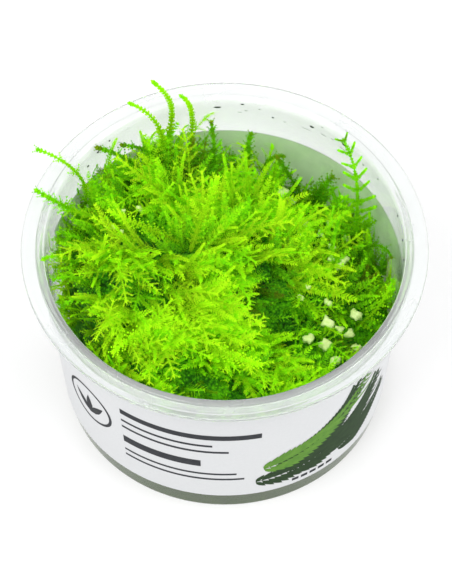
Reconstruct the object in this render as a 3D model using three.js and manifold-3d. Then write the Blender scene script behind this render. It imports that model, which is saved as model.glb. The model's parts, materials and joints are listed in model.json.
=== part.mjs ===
// A tub of tissue culture christmas moss: a clear flanged cup with a paper label, a layer of culture gel,
// a felted moss mat and the fronds that stand out of it. Millimetres, +Z up, the middle of the base at the origin,
// the printed front of the label towards -Y.
import * as THREE from "three";
import { mergeVertices } from "three/addons/utils/BufferGeometryUtils.js";
import Module from "manifold-3d";

// Driving dimensions of the cup
const CUP_HEIGHT = 57.3;
const FLANGE_RADIUS = 50;
const BASE_RADIUS = 41;
const MOUTH_RADIUS = 44.4;
const WALL = 0.8;
const FLOOR = 1;
const FLANGE_THICKNESS = 1;
const FLANGE_DROP = 0.5;
const LIP_ROUND = 0.9;
const BASE_ROUND = 1.2;
const ROUND_STEPS = 48;

// Neighbouring pieces keep this gap
const GAP = 0.3;

// Edges shorter than this are closed up after a join or a cut
const SHORTEST_EDGE = 0.1;
const WELD_DISTANCE = 0.0001;

// The label: its heights at the front, how far it dips towards the back, and the space between its ends
const LABEL_BOTTOM = 6.7;
const LABEL_TOP = 49.3;
const LABEL_DIP = 5;
const LABEL_THICKNESS = 0.3;
const LABEL_END_GAP_DEGREES = 30;

// The gel, which climbs the wall a little where it sets
const GEL_TOP = 10;
const GEL_CLIMB = 0.7;
const GEL_CLIMB_WIDTH = 4;

// The moss mat: a level that its tussocks rise from or, for the hollow, sink below
const MAT_LEVEL = 33;
const MAT_RINGS = 10;
const MAT_STEPS = 44;
const MAT_EDGE_ROUND = 2;
const MAT_LUMP = 1.1;
const MAT_LUMP_PITCH = 5.5;
const TUSSOCKS = [
  { at: [-31, 0], rise: 17, reach: 15 },
  { at: [-15, 34], rise: 12, reach: 9 },
  { at: [-24, -26], rise: 13, reach: 14 },
  { at: [2, -33], rise: 11, reach: 14 },
  { at: [-5, 3], rise: 10, reach: 13 },
  { at: [17, 8], rise: 6, reach: 10 },
  { at: [27, -24], rise: 6, reach: 12 },
  { at: [36, 4], rise: 2, reach: 9 },
  { at: [-32, 24], rise: 6, reach: 9 },
  { at: [11, -9], rise: -5, reach: 7 },
];

// The tufts that cover the mat, spread like the seeds of a sunflower
const TUFTS = 92;
const TUFT_LENGTH = 7.5;
const TUFT_RADIUS = 2.2;
const TUFT_SIDES = 3;
const TUFT_ROOT = 1.5;
const TUFT_LEAN_DEGREES = 50;
const GOLDEN_ANGLE = Math.PI * (3 - Math.sqrt(5));

// The fronds. Each grows from its foot on the mat in the compass direction heading, at the angle rise above
// level, and by its tip it has swung by turn and straightened or arched over by bend. Pairs of side branches,
// the longest of them reach long, spread to both sides.
const FRONDS = {
  tall_shoot: [
    { foot: [-14.5, 37.5], heading: -100, rise: 120, length: 27, turn: -80, bend: -65, pairs: 0, reach: 0 },
    { foot: [-9, 39], heading: -115, rise: 110, length: 27, turn: -15, bend: -50, pairs: 0, reach: 0 },
    { foot: [-16, 36.5], heading: 160, rise: 100, length: 23, turn: 30, bend: -60, pairs: 0, reach: 0 },
    { foot: [-35, 21.5], heading: 175, rise: 100, length: 25, turn: 0, bend: -75, pairs: 5, reach: 2.4 },
  ],
  rim_frond: [
    { foot: [-36, 15.5], heading: -130, rise: 70, length: 19, turn: -60, bend: -30, pairs: 8, reach: 2.6 },
    { foot: [-37.5, -0.5], heading: -160, rise: 60, length: 12, turn: 35, bend: -25, pairs: 4, reach: 2 },
    { foot: [-35, -7], heading: -175, rise: 45, length: 8, turn: 30, bend: -30, pairs: 4, reach: 2 },
    { foot: [-33, -13], heading: 170, rise: 35, length: 7, turn: 60, bend: -45, pairs: 4, reach: 2 },
  ],
  back_frond: [
    { foot: [-21.5, 30.5], heading: -170, rise: 65, length: 15, turn: -5, bend: -35, pairs: 7, reach: 2.2 },
    { foot: [-17.5, 34.5], heading: 180, rise: 50, length: 10, turn: 10, bend: -30, pairs: 4, reach: 2 },
    { foot: [-22.5, 27], heading: 165, rise: 70, length: 9, turn: 35, bend: -40, pairs: 4, reach: 2 },
    { foot: [-25, 20.5], heading: 140, rise: 70, length: 8, turn: 15, bend: -20, pairs: 4, reach: 2 },
    { foot: [-3, 35], heading: 70, rise: 80, length: 16, turn: 45, bend: -10, pairs: 7, reach: 2.2 },
    { foot: [6, 40], heading: -155, rise: 95, length: 16, turn: 110, bend: -20, pairs: 5, reach: 2.6 },
    { foot: [10, 38], heading: 40, rise: 90, length: 12, turn: -90, bend: -55, pairs: 4, reach: 2 },
    { foot: [19, 33], heading: 165, rise: 65, length: 13, turn: 0, bend: 0, pairs: 5, reach: 2.6 },
    { foot: [23, 31], heading: -20, rise: 70, length: 11, turn: 0, bend: -5, pairs: 5, reach: 3.2 },
  ],
  right_frond: [
    { foot: [34, 18], heading: 60, rise: 115, length: 34, turn: 65, bend: -80, pairs: 10, reach: 5 },
    { foot: [30.5, 25], heading: 165, rise: 75, length: 9, turn: 5, bend: -15, pairs: 5, reach: 2.6 },
    { foot: [35, 13], heading: -10, rise: 65, length: 13, turn: -65, bend: -55, pairs: 5, reach: 2.4 },
    { foot: [35.5, -8], heading: 25, rise: 40, length: 12, turn: 30, bend: 20, pairs: 7, reach: 2.4 },
  ],
  crown_frond: [
    { foot: [-7.5, 9], heading: 75, rise: 5, length: 17, turn: -30, bend: 65, pairs: 8, reach: 1.8 },
    { foot: [-8.5, -16], heading: -160, rise: 20, length: 23, turn: 30, bend: -15, pairs: 10, reach: 2.8 },
    { foot: [-9, -23], heading: -30, rise: 8, length: 20, turn: 5, bend: 5, pairs: 10, reach: 2.6 },
    { foot: [-13.5, -27], heading: -130, rise: 8, length: 9, turn: 0, bend: 0, pairs: 5, reach: 1.8 },
    { foot: [-15, 8], heading: 170, rise: 25, length: 15, turn: -5, bend: 0, pairs: 8, reach: 2.0 },
  ],
};
const STALK_RADIUS = 0.75;
const STALK_TIP_SHARE = 0.45;
const LINE_STEPS = 8;
const BARE_SEGMENTS = 8;
const ROOT_DEPTH = 3;
const BRANCH_ANGLE_DEGREES = 55;
const BRANCH_SHORTENING = 0.6;
const BARE_FOOT = 1;
const SLOT_MARGIN = 4;

// Fronds turn their faces to the light, which comes from above and from the front
const LIGHT = new THREE.Vector3(0, -0.56, 0.83);

const radians = THREE.MathUtils.degToRad;
const wasm = await Module();
wasm.setup();

// A closed geometry with its shared points made one, so that it can be bent without opening its seams
function welded(geometry) {
  const bare = geometry.clone();
  bare.deleteAttribute("normal");
  bare.deleteAttribute("uv");
  return mergeVertices(bare, WELD_DISTANCE);
}

// A closed geometry as a solid that can be joined and cut
function toSolid(geometry) {
  const merged = welded(geometry);
  const vertProperties = merged.getAttribute("position").array;
  const triVerts = new Uint32Array(merged.index.array);
  return new wasm.Manifold(new wasm.Mesh({ numProp: 3, vertProperties, triVerts }));
}

// A solid back as a geometry: edges too short to matter are closed up, and crumbs left by a cut are dropped
function toGeometry(solid) {
  const bodies = solid.asOriginal().simplify(SHORTEST_EDGE).decompose();
  bodies.sort((a, b) => b.volume() - a.volume());
  const mesh = bodies[0].getMesh();
  const geometry = new THREE.BufferGeometry();
  geometry.setAttribute("position", new THREE.BufferAttribute(mesh.vertProperties, 3));
  geometry.setIndex(new THREE.BufferAttribute(mesh.triVerts, 1));
  geometry.computeVertexNormals();
  return geometry;
}

// A profile of [radius, height] points turned round the upright axis
function turned(profile, steps = ROUND_STEPS) {
  const points = profile.map(([radius, height]) => new THREE.Vector2(radius, height));
  return new THREE.LatheGeometry(points, steps).rotateX(Math.PI / 2);
}

function innerRadius(z) {
  const mouth = MOUTH_RADIUS;
  const base = BASE_RADIUS - WALL;
  return base + (mouth - base) * (z / CUP_HEIGHT);
}

function outerRadius(z) {
  return innerRadius(z) + WALL;
}

// The cup: floor, tapered wall and flared flange in one turned profile
function cupGeometry() {
  const flangeTop = CUP_HEIGHT - FLANGE_DROP;
  const flangeUnder = flangeTop - FLANGE_THICKNESS;
  const neck = flangeUnder - LIP_ROUND;
  const half = FLANGE_THICKNESS / 2;
  return turned([
    [0, 0],
    [BASE_RADIUS - BASE_ROUND, 0],
    [outerRadius(0.3 * BASE_ROUND) - 0.3 * BASE_ROUND, 0.3 * BASE_ROUND],
    [outerRadius(BASE_ROUND), BASE_ROUND],
    [outerRadius(neck), neck],
    [outerRadius(neck) + LIP_ROUND, flangeUnder],
    [FLANGE_RADIUS - half / 2, flangeUnder],
    [FLANGE_RADIUS, flangeUnder + half / 2],
    [FLANGE_RADIUS, flangeTop - half / 2],
    [FLANGE_RADIUS - half, flangeTop],
    [MOUTH_RADIUS + 2 * LIP_ROUND, CUP_HEIGHT],
    [MOUTH_RADIUS + LIP_ROUND, CUP_HEIGHT - 0.2 * LIP_ROUND],
    [MOUTH_RADIUS, CUP_HEIGHT - LIP_ROUND],
    [innerRadius(FLOOR + BASE_ROUND), FLOOR + BASE_ROUND],
    [innerRadius(FLOOR) - BASE_ROUND, FLOOR],
    [0, FLOOR],
  ]);
}

// The label: a band on the cone of the wall that dips towards the back, with a wedge cut out between its ends
function labelGeometry() {
  const band = welded(turned([
    [outerRadius(LABEL_BOTTOM) + GAP, LABEL_BOTTOM],
    [outerRadius(LABEL_BOTTOM) + GAP + LABEL_THICKNESS, LABEL_BOTTOM],
    [outerRadius(LABEL_TOP) + GAP + LABEL_THICKNESS, LABEL_TOP],
    [outerRadius(LABEL_TOP) + GAP, LABEL_TOP],
    [outerRadius(LABEL_BOTTOM) + GAP, LABEL_BOTTOM],
  ]));
  const position = band.getAttribute("position");
  const point = new THREE.Vector3();
  for (let i = 0; i < position.count; i += 1) {
    point.fromBufferAttribute(position, i);
    const radius = Math.hypot(point.x, point.y);
    const skin = radius - outerRadius(point.z);
    const dip = (LABEL_DIP * (1 + point.y / radius)) / 2;
    const lowered = point.z - dip;
    const share = (outerRadius(lowered) + skin) / radius;
    position.setXYZ(i, point.x * share, point.y * share, lowered);
  }
  const halfGap = radians(LABEL_END_GAP_DEGREES / 2);
  const far = 2 * FLANGE_RADIUS;
  const wedge = new THREE.Shape();
  wedge.moveTo(0, 0);
  wedge.lineTo(-far * Math.cos(halfGap), far * Math.sin(halfGap));
  wedge.lineTo(-far * Math.cos(halfGap), -far * Math.sin(halfGap));
  wedge.closePath();
  const cutter = new THREE.ExtrudeGeometry(wedge, { depth: CUP_HEIGHT, bevelEnabled: false });
  return toGeometry(toSolid(band).subtract(toSolid(cutter)));
}

// The gel: a disc that fills the cup above the floor and climbs a little at the wall
function gelGeometry() {
  const under = FLOOR + GAP;
  const shoulder = under + BASE_ROUND;
  const rim = GEL_TOP + GEL_CLIMB;
  return turned([
    [0, under],
    [innerRadius(under) - BASE_ROUND - GAP, under],
    [innerRadius(shoulder) - GAP, shoulder],
    [innerRadius(rim) - GAP, rim],
    [innerRadius(rim) - GAP - GEL_CLIMB_WIDTH, GEL_TOP],
    [0, GEL_TOP],
  ]);
}

function matHeight(x, y) {
  let height = MAT_LEVEL;
  for (const { at, rise, reach } of TUSSOCKS) {
    const away = (x - at[0]) ** 2 + (y - at[1]) ** 2;
    height += rise * Math.exp(-away / (2 * reach ** 2));
  }
  return height;
}

// Small lumps over the whole mat, in waves that cross each other at uneven angles
function matLump(x, y) {
  const pitch = (2 * Math.PI) / MAT_LUMP_PITCH;
  const across = Math.sin(pitch * (0.8 * x + 0.6 * y));
  const back = Math.sin(pitch * (0.5 * x - 0.87 * y));
  return MAT_LUMP * across * back;
}

// The body of the mat: a turned blank whose top is lifted to the tussocks and their lumps
function matBlank() {
  const under = GEL_TOP + GAP;
  const shoulder = under + GEL_CLIMB + GAP;
  const top = MAT_LEVEL;
  const side = innerRadius(top) - 2 * GAP;
  const profile = [
    [0, under],
    [innerRadius(under) - GEL_CLIMB_WIDTH - 2 * GAP, under],
    [innerRadius(shoulder) - 2 * GAP, shoulder],
    [side, top - MAT_EDGE_ROUND],
  ];
  for (let ring = MAT_RINGS; ring >= 0; ring -= 1) {
    profile.push([(ring / MAT_RINGS) * (side - MAT_EDGE_ROUND / 2), top]);
  }
  const blank = welded(turned(profile, MAT_STEPS));
  const position = blank.getAttribute("position");
  const point = new THREE.Vector3();
  for (let i = 0; i < position.count; i += 1) {
    point.fromBufferAttribute(position, i);
    const share = THREE.MathUtils.clamp((point.z - shoulder) / (top - shoulder), 0, 1);
    const height = point.z + share * (matHeight(point.x, point.y) + matLump(point.x, point.y) - top);
    const spread = innerRadius(height) / innerRadius(point.z);
    position.setXYZ(i, point.x * spread, point.y * spread, height);
  }
  return blank;
}

// A cone from a point along a direction, with its wide end at the point
function spike(from, direction, length, radius, sides) {
  const cone = new THREE.ConeGeometry(radius, length, sides);
  cone.translate(0, length / 2, 0);
  const turn = new THREE.Quaternion().setFromUnitVectors(new THREE.Vector3(0, 1, 0), direction);
  cone.applyQuaternion(turn);
  cone.translate(from.x, from.y, from.z);
  return cone;
}

// The tufts: leaning spikes spread over the mat by the golden angle, each leaning its own way
function tufts() {
  const edge = innerRadius(MAT_LEVEL) - 2 * TUFT_RADIUS;
  const lean = radians(TUFT_LEAN_DEGREES);
  return Array.from({ length: TUFTS }, (_, i) => {
    const radius = edge * Math.sqrt((i + 0.5) / TUFTS);
    const around = i * GOLDEN_ANGLE;
    const x = radius * Math.cos(around);
    const y = radius * Math.sin(around);
    const foot = new THREE.Vector3(x, y, matHeight(x, y) - TUFT_ROOT);
    const heading = 2.3 * around;
    const direction = new THREE.Vector3(
      Math.sin(lean) * Math.cos(heading),
      Math.sin(lean) * Math.sin(heading),
      Math.cos(lean),
    );
    const length = TUFT_LENGTH * (0.8 + 0.4 * ((i % 5) / 4));
    return toSolid(spike(foot, direction, length, TUFT_RADIUS, TUFT_SIDES));
  });
}

// The line that a frond grows along, from its root inside the mat to its tip
function frondLine({ foot, heading, rise, length, turn, bend }) {
  const point = new THREE.Vector3(foot[0], foot[1], matHeight(foot[0], foot[1]));
  const step = length / LINE_STEPS;
  const growth = (share) => {
    const compass = radians(heading + turn * share);
    const angle = radians(rise + bend * share);
    return new THREE.Vector3(
      Math.cos(angle) * Math.cos(compass),
      Math.cos(angle) * Math.sin(compass),
      Math.sin(angle),
    );
  };
  const root = point.clone().addScaledVector(growth(0), -ROOT_DEPTH);
  const points = [root, point.clone()];
  for (let i = 0; i < LINE_STEPS; i += 1) {
    point.addScaledVector(growth((i + 0.5) / LINE_STEPS), step);
    points.push(point.clone());
  }
  return new THREE.CatmullRomCurve3(points);
}

// A frond: a four-sided blank bent along its line. At every second station its sides are drawn out into a pair of
// side branches that lean forward and shorten towards the tip. The slot that it lies in, which is cut from the mat,
// is as wide as the branches all along and larger by the gap.
function frondGeometry(frond, isSlot = false) {
  const line = frondLine(frond);
  const segments = frond.pairs ? 2 * frond.pairs + 2 : BARE_SEGMENTS;
  const bare = (ROOT_DEPTH + BARE_FOOT) / (ROOT_DEPTH + frond.length);
  const lean = isSlot ? 0 : 1 / Math.tan(radians(BRANCH_ANGLE_DEGREES));
  const extra = isSlot ? GAP : 0;
  const blank = new THREE.CylinderGeometry(1, 1, 1, 4, segments);
  const position = blank.getAttribute("position");
  for (let i = 0; i < position.count; i += 1) {
    const station = Math.round((position.getY(i) + 0.5) * segments);
    const share = station === 0 ? 0 : bare + ((1 - bare) * (station - 1)) / (segments - 1);
    const branched = frond.pairs > 0 && station > 1 && station < segments && (isSlot || station % 2 === 0);
    const stalk = STALK_RADIUS * (1 - (1 - STALK_TIP_SHARE) * share ** 2) + extra;
    const reach = frond.reach * (1 - BRANCH_SHORTENING * share) + SLOT_MARGIN * extra;
    const width = branched ? Math.max(stalk, reach) : stalk;
    const across = position.getX(i);
    const point = line.getPointAt(share);
    const along = line.getTangentAt(share);
    const side = new THREE.Vector3().crossVectors(along, LIGHT).normalize();
    const face = new THREE.Vector3().crossVectors(side, along);
    const past = (station === segments) - (station === 0);
    point.addScaledVector(side, across * width);
    point.addScaledVector(face, position.getZ(i) * stalk);
    point.addScaledVector(along, Math.abs(across) * (width - stalk) * lean + past * extra);
    position.setXYZ(i, point.x, point.y, point.z);
  }
  blank.computeVertexNormals();
  return blank;
}

// The mat: its body and tufts, kept off the wall, with a socket for every frond
function matSolid(fronds) {
  const off = 1.5 * GAP;
  const inside = turned([
    [0, FLOOR],
    [innerRadius(FLOOR) - off, FLOOR],
    [innerRadius(CUP_HEIGHT) - off, CUP_HEIGHT],
    [0, CUP_HEIGHT],
  ]);
  let mat = wasm.Manifold.union([toSolid(matBlank()), ...tufts()]).intersect(toSolid(inside));
  for (const frond of fronds) mat = mat.subtract(toSolid(frondGeometry(frond, true)));
  return mat;
}

const CLEAR_PLASTIC = { color: 0xe9eeec, roughness: 0.12, metalness: 0, transparent: true, opacity: 0.35 };
const LABEL_PAPER = { color: 0xf3f4f6, roughness: 0.5, metalness: 0 };
const CULTURE_GEL = { color: 0x8b9a67, roughness: 0.25, metalness: 0 };
const MAT_GREEN = { color: 0x4f9a12, roughness: 0.7, metalness: 0 };
const FROND_GREEN = {
  tall_shoot: { color: 0x8fd21c, roughness: 0.6, metalness: 0 },
  rim_frond: { color: 0x7cc41a, roughness: 0.6, metalness: 0 },
  back_frond: { color: 0x3f8a1c, roughness: 0.65, metalness: 0 },
  right_frond: { color: 0x62b31a, roughness: 0.6, metalness: 0 },
  crown_frond: { color: 0xa6ef10, roughness: 0.55, metalness: 0 },
};

function piece(name, geometry, finish) {
  const mesh = new THREE.Mesh(geometry, new THREE.MeshStandardMaterial(finish));
  mesh.name = name;
  return mesh;
}

const group = new THREE.Group();
const allFronds = Object.values(FRONDS).flat();
group.add(piece("cup", cupGeometry(), CLEAR_PLASTIC));
group.add(piece("label", labelGeometry(), LABEL_PAPER));
group.add(piece("gel", gelGeometry(), CULTURE_GEL));
group.add(piece("moss_mat", toGeometry(matSolid(allFronds)), MAT_GREEN));
for (const [kind, fronds] of Object.entries(FRONDS)) {
  fronds.forEach((frond, i) => {
    group.add(piece(`${kind}_${i + 1}`, frondGeometry(frond), FROND_GREEN[kind]));
  });
}

export default group;
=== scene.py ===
# %% [markdown]
# # A tub of tissue culture moss
# A clear plastic tub, about 100 mm across its flange, holds a layer of culture gel and a dense mound of
# moss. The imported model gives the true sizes. This script dresses it: a moulded tub that light passes
# through, a printed paper label, wet gel, and moss that is grown leaf by leaf.

# %% Load the frame
import json
import math

import bmesh
import bpy
import numpy as np
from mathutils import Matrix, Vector, noise

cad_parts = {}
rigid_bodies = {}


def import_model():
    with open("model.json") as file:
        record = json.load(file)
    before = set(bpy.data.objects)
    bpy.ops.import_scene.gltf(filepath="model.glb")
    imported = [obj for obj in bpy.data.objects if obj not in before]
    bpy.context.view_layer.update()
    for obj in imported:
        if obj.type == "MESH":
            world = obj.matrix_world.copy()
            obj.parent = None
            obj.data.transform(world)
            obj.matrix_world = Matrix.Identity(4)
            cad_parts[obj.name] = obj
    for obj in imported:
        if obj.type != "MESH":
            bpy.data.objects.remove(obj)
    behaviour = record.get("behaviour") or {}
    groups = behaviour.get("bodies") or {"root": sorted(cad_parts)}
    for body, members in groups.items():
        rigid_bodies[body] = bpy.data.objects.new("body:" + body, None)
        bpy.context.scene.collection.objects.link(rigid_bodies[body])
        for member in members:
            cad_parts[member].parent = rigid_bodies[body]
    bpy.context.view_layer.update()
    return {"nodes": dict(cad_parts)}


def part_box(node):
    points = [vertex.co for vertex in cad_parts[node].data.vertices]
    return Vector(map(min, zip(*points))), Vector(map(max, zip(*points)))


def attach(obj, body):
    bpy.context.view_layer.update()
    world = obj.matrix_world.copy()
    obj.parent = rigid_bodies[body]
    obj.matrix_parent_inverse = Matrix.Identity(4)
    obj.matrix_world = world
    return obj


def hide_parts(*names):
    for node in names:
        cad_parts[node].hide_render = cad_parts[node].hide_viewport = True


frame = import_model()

MM = 0.001
TAU = 2 * math.pi
print("nodes in the frame:", len(frame["nodes"]))

# %% [markdown]
# ## Objects and pieces
# Two small steps come back all through the script: putting a new object in the scene, and riding a finished
# piece on the tub in place of the nodes of the model that it stands for. Every piece rides on the one body,
# because nothing on the tub moves.

# %% Object helpers
def link_object(name, data):
    """A new object in the scene."""
    made = bpy.data.objects.new(name, data)
    bpy.context.scene.collection.objects.link(made)
    return made


def place_piece(piece, slot, *nodes):
    """Rides a finished piece on the tub and hides the nodes of the model that it stands for; slot is not
    used.
    """
    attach(piece, "root")
    if nodes:
        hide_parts(*nodes)


print("object helpers ready")

# %% [markdown]
# ## The camera
# The tub was photographed from the front and well above, through a long lens. The camera is made first, so
# every later piece can be judged through it.

# %% Camera
CAMERA_PLACE = (0.00032, -0.4495, 0.7191)
CAMERA_TILT = math.radians(33.35)
CAMERA_LENS = 201.27

camera_data = bpy.data.cameras.new("camera")
camera_data.lens = CAMERA_LENS
camera_data.sensor_width = 36
camera_data.clip_end = 20
camera = link_object("camera", camera_data)
camera.location = CAMERA_PLACE
camera.rotation_euler = (CAMERA_TILT, 0, 0)
bpy.context.scene.camera = camera
print("camera lens", CAMERA_LENS, "mm")

# %% [markdown]
# ## Sizes
# The outer sizes are read from the frame, in millimetres. The others are the tub's own: its wall, and the
# heights that the gel and the moss reach.

# %% Sizes
CUP_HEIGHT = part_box("cup")[1].z / MM
FLANGE_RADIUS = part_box("cup")[1].x / MM
GEL_TOP = 10.0
BASE_RADIUS = 41.0
MOUTH_RADIUS = 44.4
WALL = 0.8
FLOOR = 0.6


def inner_radius(z):
    """The radius of the wall's inner face at a height, in millimetres."""
    return BASE_RADIUS - WALL + (MOUTH_RADIUS - BASE_RADIUS + WALL) * z / CUP_HEIGHT


def outer_radius(z):
    """The radius of the wall's outer face at a height."""
    return inner_radius(z) + WALL


print("tub", round(2 * FLANGE_RADIUS, 1), "mm across,", round(CUP_HEIGHT, 1), "mm high")

# %% [markdown]
# ## Node trees as Python
# Shader and geometry trees are both graphs of sockets. One small class wraps a socket, so that a sum or a
# product in Python adds the Math node, or for vectors the Vector Math node, that works it out. Another
# class adds any other node: first its settings, then the values or links of its sockets.

# %% The socket class
class Wire:
    """An output socket. Arithmetic on it adds nodes to its tree."""

    def __init__(self, graph, socket):
        self.graph = graph
        self.socket = socket

    def out(self, name):
        """Another output of the same node."""
        outputs = self.socket.node.outputs
        return Wire(self.graph, next(s for s in outputs if s.enabled and s.name == name))


OPERATORS = {"add": "ADD", "sub": "SUBTRACT", "mul": "MULTIPLY", "truediv": "DIVIDE", "pow": "POWER"}

for word, operation in OPERATORS.items():
    def forward(self, other, operation=operation):
        """The wire is the first term."""
        return self.graph.calculate(operation, self, other)

    def reflected(self, other, operation=operation):
        """The wire is the second term, as in 1 - mask."""
        return self.graph.calculate(operation, other, self)

    setattr(Wire, f"__{word}__", forward)
    setattr(Wire, f"__r{word}__", reflected)


def is_vector(term):
    """True for a wire that carries a vector."""
    return isinstance(term, Wire) and term.socket.type == "VECTOR"


print("operators on sockets:", *OPERATORS)

# %% The graph class
class Graph:
    """A node tree that is written as Python."""

    def __init__(self, tree):
        self.tree = tree
        tree.nodes.clear()

    def add(self, kind, settings=None, inputs=None):
        """Adds a node and gives its first enabled output."""
        node = self.tree.nodes.new(kind)
        for name, value in (settings or {}).items():
            if name == "stops":
                self.set_stops(node, value)
            else:
                setattr(node, name, value)
        for key, value in (inputs or {}).items():
            self.feed(node, key, value)
        outputs = [s for s in node.outputs if s.enabled]
        return Wire(self, outputs[0]) if outputs else node

    def feed(self, node, key, value):
        """Sets or links one input, by its name or its place."""
        if isinstance(key, int):
            socket = node.inputs[key]
        else:
            socket = next(s for s in node.inputs if s.enabled and s.name == key)
        if isinstance(value, Wire):
            self.tree.links.new(value.socket, socket)
        else:
            socket.default_value = value

    def set_stops(self, node, stops):
        """Gives a ramp its stops: pairs of a position and a colour."""
        elements = node.color_ramp.elements
        while len(elements) < len(stops):
            elements.new(0.5)
        for element, (position, colour) in zip(elements, stops):
            element.position = position
            element.color = (*colour, 1)

    def calculate(self, operation, *terms):
        """A Math node by its operation's name, or a Vector Math node where a term is a vector."""
        if not any(is_vector(term) for term in terms):
            return self.add("ShaderNodeMath", {"operation": operation}, dict(enumerate(terms)))
        if operation == "MULTIPLY" and not all(is_vector(term) for term in terms):
            vector, factor = sorted(terms, key=is_vector, reverse=True)
            scaled = self.add("ShaderNodeVectorMath", {"operation": "SCALE"}, {0: vector})
            self.feed(scaled.socket.node, "Scale", factor)
            return scaled
        return self.add("ShaderNodeVectorMath", {"operation": operation}, dict(enumerate(terms)))


print("graph class ready")

# %% [markdown]
# ## Simple shapes
# Most of the tub is turned: one profile swept round an axis. A profile that starts and ends on the axis
# gives a closed body with a single point at each pole.

# %% Mesh helpers
def make_piece(name, points, faces, smooth=True):
    """A mesh object from points in millimetres."""
    mesh = bpy.data.meshes.new(name)
    mesh.from_pydata([Vector(p) * MM for p in points], [], faces)
    mesh.validate()
    if smooth:
        mesh.shade_smooth()
    return link_object(name, mesh)


def piece_from(shape, name):
    """A smooth mesh object from a bmesh, which is freed."""
    mesh = bpy.data.meshes.new(name)
    shape.to_mesh(mesh)
    shape.free()
    mesh.shade_smooth()
    return link_object(name, mesh)


def face_outwards(piece):
    """Turns the faces of a closed mesh outwards."""
    shape = bmesh.new()
    shape.from_mesh(piece.data)
    bmesh.ops.recalc_face_normals(shape, faces=shape.faces)
    shape.to_mesh(piece.data)
    shape.free()


def give_material(piece, *materials):
    """Puts materials in the piece's slots."""
    for material in materials:
        piece.data.materials.append(material)


print("mesh helpers ready")

# %% Turned shapes
def ring_faces(rings, turns, base=0):
    """Quads between neighbouring rings of points."""
    faces = []
    for low in range(base, base + (rings - 1) * turns, turns):
        high = low + turns
        for turn in range(turns):
            after = (turn + 1) % turns
            faces.append((low + turn, high + turn, high + after, low + after))
    return faces


def closed_rings(name, first, rings, last):
    """A closed body from rings of points, with a single point at each end."""
    turns = len(rings[0])
    points = [first, *(point for ring in rings for point in ring), last]
    end = len(points) - 1
    faces = ring_faces(len(rings), turns, 1)
    for turn in range(turns):
        after = (turn + 1) % turns
        faces.append((0, 1 + turn, 1 + after))
        faces.append((end - turns + after, end - turns + turn, end))
    piece = make_piece(name, points, faces)
    face_outwards(piece)
    return piece


def turned(name, profile, steps):
    """A profile of (radius, height) points, from axis to axis, turned round the upright axis."""
    angles = [TAU * step / steps for step in range(steps)]
    rings = []
    for radius, height in profile:
        rings.append([(radius * math.cos(a), radius * math.sin(a), height) for a in angles])
    return closed_rings(name, rings[0][0], rings[1:-1], rings[-1][0])


def rounded(profile, bends, steps=5):
    """The profile with its inner corners rounded: bends gives each corner's radius."""
    smooth = [profile[0]]
    for before, corner, after, bend in zip(profile, profile[1:], profile[2:], bends):
        middle = Vector(corner)
        enter = middle + (Vector(before) - middle).normalized() * bend
        leave = middle + (Vector(after) - middle).normalized() * bend
        for step in range(steps + 1):
            share = step / steps
            here = (1 - share) ** 2 * enter + 2 * share * (1 - share) * middle + share**2 * leave
            smooth.append(tuple(here))
    smooth.append(profile[-1])
    return smooth


print("turned shapes ready")

# %% [markdown]
# ## Materials
# Each finish is its own tree. The plastic is a real glass-like solid with a little milkiness from its
# moulding and from condensation. The gel is cloudy. Leaves are coloured through their own map: across it
# runs the tint of the shoot, from old brown through deep green to lime, with painted light and shade of the
# mat in it, and up it runs the age of the leaf and the light it gets, from root to growing tip, which paints
# shade at the foot and a glow at the tip.

# %% Material helpers
def new_material(name):
    """An empty material with its graph."""
    material = bpy.data.materials.new(name)
    material.use_nodes = True
    return material, Graph(material.node_tree)


def finish_material(graph, surface):
    """Links the surface shader to the output."""
    graph.add("ShaderNodeOutputMaterial", inputs={"Surface": surface})


def object_place(graph):
    """The place on the piece, in metres."""
    return graph.add("ShaderNodeTexCoord").out("Object")


def noise_at(graph, place, scale, detail):
    """Smooth noise over the piece."""
    return graph.add("ShaderNodeTexNoise", inputs={"Vector": place, "Scale": scale, "Detail": detail})


def mix(graph, factor, first, second):
    """The mix of two colours."""
    return graph.add("ShaderNodeMix", {"data_type": "RGBA"}, {"Factor": factor, "A": first, "B": second})


def bump(graph, height, strength, distance):
    """A normal with small bumps."""
    return graph.add("ShaderNodeBump", inputs={"Height": height, "Strength": strength, "Distance": distance})


def principled(graph, inputs):
    """The general surface shader."""
    return graph.add("ShaderNodeBsdfPrincipled", inputs=inputs)


def mottled(name, scale, detail, dark, light, values, bumps=None, glow=0):
    """A finish whose colour wanders between two, with bumps and a painted glow where they are asked for."""
    material, graph = new_material(name)
    cloud = noise_at(graph, object_place(graph), scale, detail)
    tone = mix(graph, cloud, (*dark, 1), (*light, 1))
    inputs = {"Base Color": tone, **values}
    if bumps:
        inputs["Normal"] = bump(graph, cloud, *bumps)
    if glow:
        inputs["Emission Color"] = tone
        inputs["Emission Strength"] = glow
    finish_material(graph, principled(graph, inputs))
    print("made", name)
    return material


print("material helpers ready")

# %% Clear plastic
PLASTIC_IOR = 1.49
LIP_MILK = 0.24
WALL_MILK = 0.012
CLEAR_BELOW = 0.043
MILKY_ABOVE = 0.055

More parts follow.
